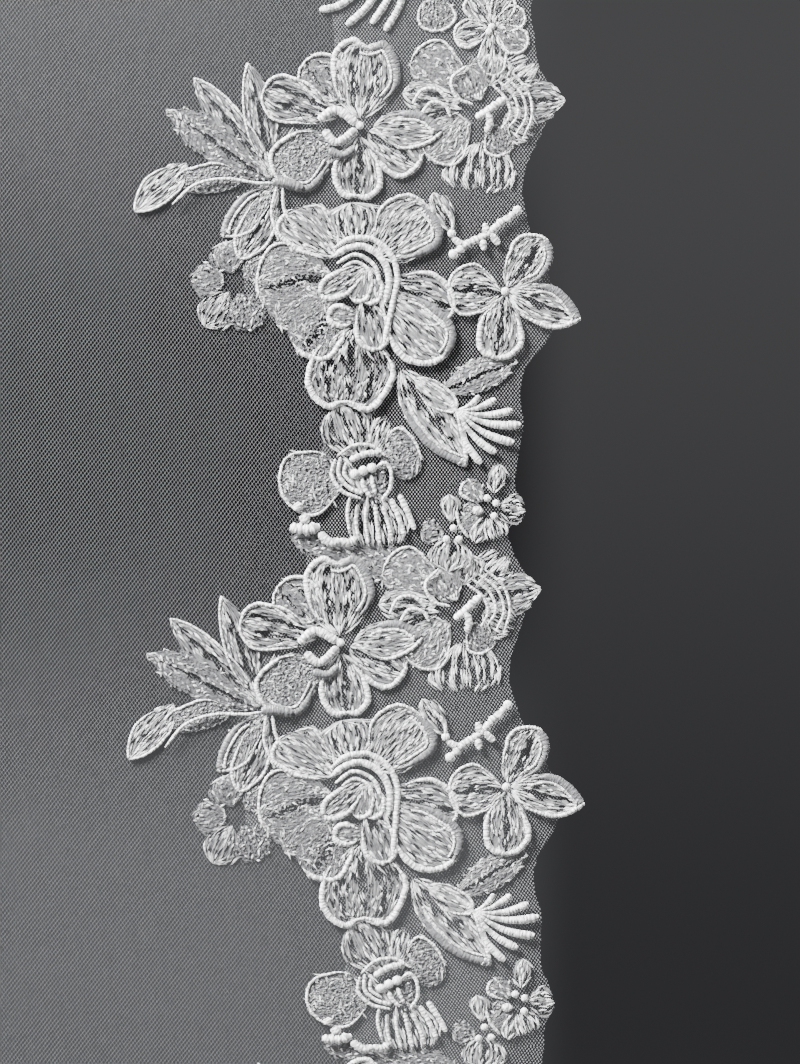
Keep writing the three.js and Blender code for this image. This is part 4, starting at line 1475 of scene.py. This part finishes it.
# The surround: greys all round, and behind the veil as the camera sees it, each darkest and lightest
ROUND_COLOURS = ((0.03, 0.03, 0.033), (0.07, 0.07, 0.073))
BEHIND_COLOURS = ((0.006, 0.006, 0.007), (0.085, 0.087, 0.092))
# Where each change of the surround starts and ends, as parts of the direction looked in
ROUND_FADE = (-0.11, 0.11)
UPPER_GLOW = (0.03, 0.11)
LOWER_GLOW = (0.01, -0.07)
LEFT_FADE = (0.036, 0.012)
AHEAD_FADE = (0.94, 0.98)


def add_floor():
    bpy.ops.mesh.primitive_plane_add(size=FLOOR_SIZE, location=(0, 0, FLOOR_HEIGHT))
    floor = bpy.context.object
    floor.name = "floor"
    paper = noise_material("floor_paper", FLOOR_ROUGHNESS, FLOOR_GRAIN, FLOOR_COLOURS)
    floor.data.materials.append(paper)


def add_area(name, place, aim, size, energy, beam):
    light = bpy.data.lights.new(name, "AREA")
    light.spread = beam
    light.shape = "DISK"
    light.size = size
    light.energy = energy
    lamp = bpy.data.objects.new(name, light)
    bpy.context.scene.collection.objects.link(lamp)
    lamp.location = place
    lamp.rotation_euler = (Vector(aim) - Vector(place)).to_track_quat("-Z", "Y").to_euler()


def along_direction(tree, direction, axis):
    """How far the direction looked in points along an axis."""
    node = tree.nodes.new("ShaderNodeVectorMath")
    node.operation = "DOT_PRODUCT"
    tree.links.new(direction, node.inputs[0])
    node.inputs[1].default_value = axis
    return node.outputs["Value"]


def add_world():
    world = bpy.data.worlds.new("dark_grey_surround")
    bpy.context.scene.world = world
    world.use_nodes = True
    tree = world.node_tree
    background = tree.nodes["Background"]
    direction = tree.nodes.new("ShaderNodeTexCoord").outputs["Generated"]
    height = along_direction(tree, direction, (0.0, 0.0, 1.0))
    plain = mix_colour(tree, map_range(tree, height, *ROUND_FADE), *ROUND_COLOURS)
    glows = [map_range(tree, height, *fade) for fade in (UPPER_GLOW, LOWER_GLOW)]
    behind = mix_colour(tree, math_node(tree, "ADD", *glows), *BEHIND_COLOURS)
    across = along_direction(tree, direction, (LOOK[1], -LOOK[0], 0.0))
    ahead = along_direction(tree, direction, LOOK)
    left = map_range(tree, across, *LEFT_FADE)
    near = math_node(tree, "MULTIPLY", left, map_range(tree, ahead, *AHEAD_FADE))
    tree.links.new(mix_colour(tree, near, plain, behind), background.inputs["Color"])


def add_camera():
    aim = drape(np.array(VIEW_INWARD - HALF_CUT), np.array(VIEW_DOWN))
    look = np.array(LOOK)
    data = bpy.data.cameras.new("camera")
    data.sensor_width = SENSOR
    data.lens = SENSOR * VIEW_DISTANCE / VIEW_HEIGHT
    camera = bpy.data.objects.new("camera", data)
    bpy.context.scene.collection.objects.link(camera)
    camera.location = Vector((aim - look * VIEW_DISTANCE) * MM)
    camera.rotation_euler = Vector(look).to_track_quat("-Z", "Y").to_euler()
    bpy.context.scene.camera = camera
    return Vector(aim * MM), Vector(look)


def add_lights(aim, look):
    up = Vector((0, 0, 1))
    right = look.cross(up)
    for name, (before, aside, above, *rest) in NEAR_LIGHTS.items():
        add_area(name, aim - look * before + right * aside + up * above, aim, *rest)
    for name, light in ROUND_LIGHTS.items():
        add_area(name, *light)


def dress(piece, slot, *nodes):
    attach(piece, "root")
    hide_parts(*nodes)


def main():
    bpy.ops.object.select_all(action="DESELECT")
    GROUPS["net_mesh"] = net_group()
    GROUPS["thread_run"] = thread_group()
    tulle_net = net_material("tulle_net", TULLE_MESH, TULLE_THREAD, TULLE_CROSSING, TULLE_COLOURS, "bare")
    lace_materials = [
        net_material("lace_ground", GROUND_MESH, GROUND_THREAD, GROUND_CROSSING, GROUND_COLOURS),
        fill_material(),
        satin_material("lace_band", BAND_SHADE_AND_LIT),
        satin_material("lace_cord", CORD_SHADE_AND_LIT),
        stitch_material(),
    ]
    tulle = make_tulle(tulle_net)
    dress(tulle, "tulle", "tulle")
    repeat = stitch_motifs(FLOWERS, CORDS, KNOTS, FRONDS, REPEAT_SEED)
    upper = stitch_motifs(UPPER_FLOWERS, UPPER_CORDS, UPPER_KNOTS, [], UPPER_SEED)
    laces = []
    for number in range(1, LACE_COUNT + 1):
        extra = upper if number in (1, LACE_COUNT) else None
        laces.append(make_lace(number, repeat, extra, lace_materials))
        dress(laces[-1], "lace", f"lace_{number:02d}")
    plastic = noise_material("comb_plastic", COMB_ROUGHNESS, COMB_GRAIN, COMB_COLOURS)
    comb = make_comb(plastic)
    dress(comb, "comb", "comb")
    sewing = make_sewing(new_material("sewing_thread", SEWING_ROUGHNESS)[0])
    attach(sewing, "root")
    add_floor()
    add_world()
    add_lights(*add_camera())


main()
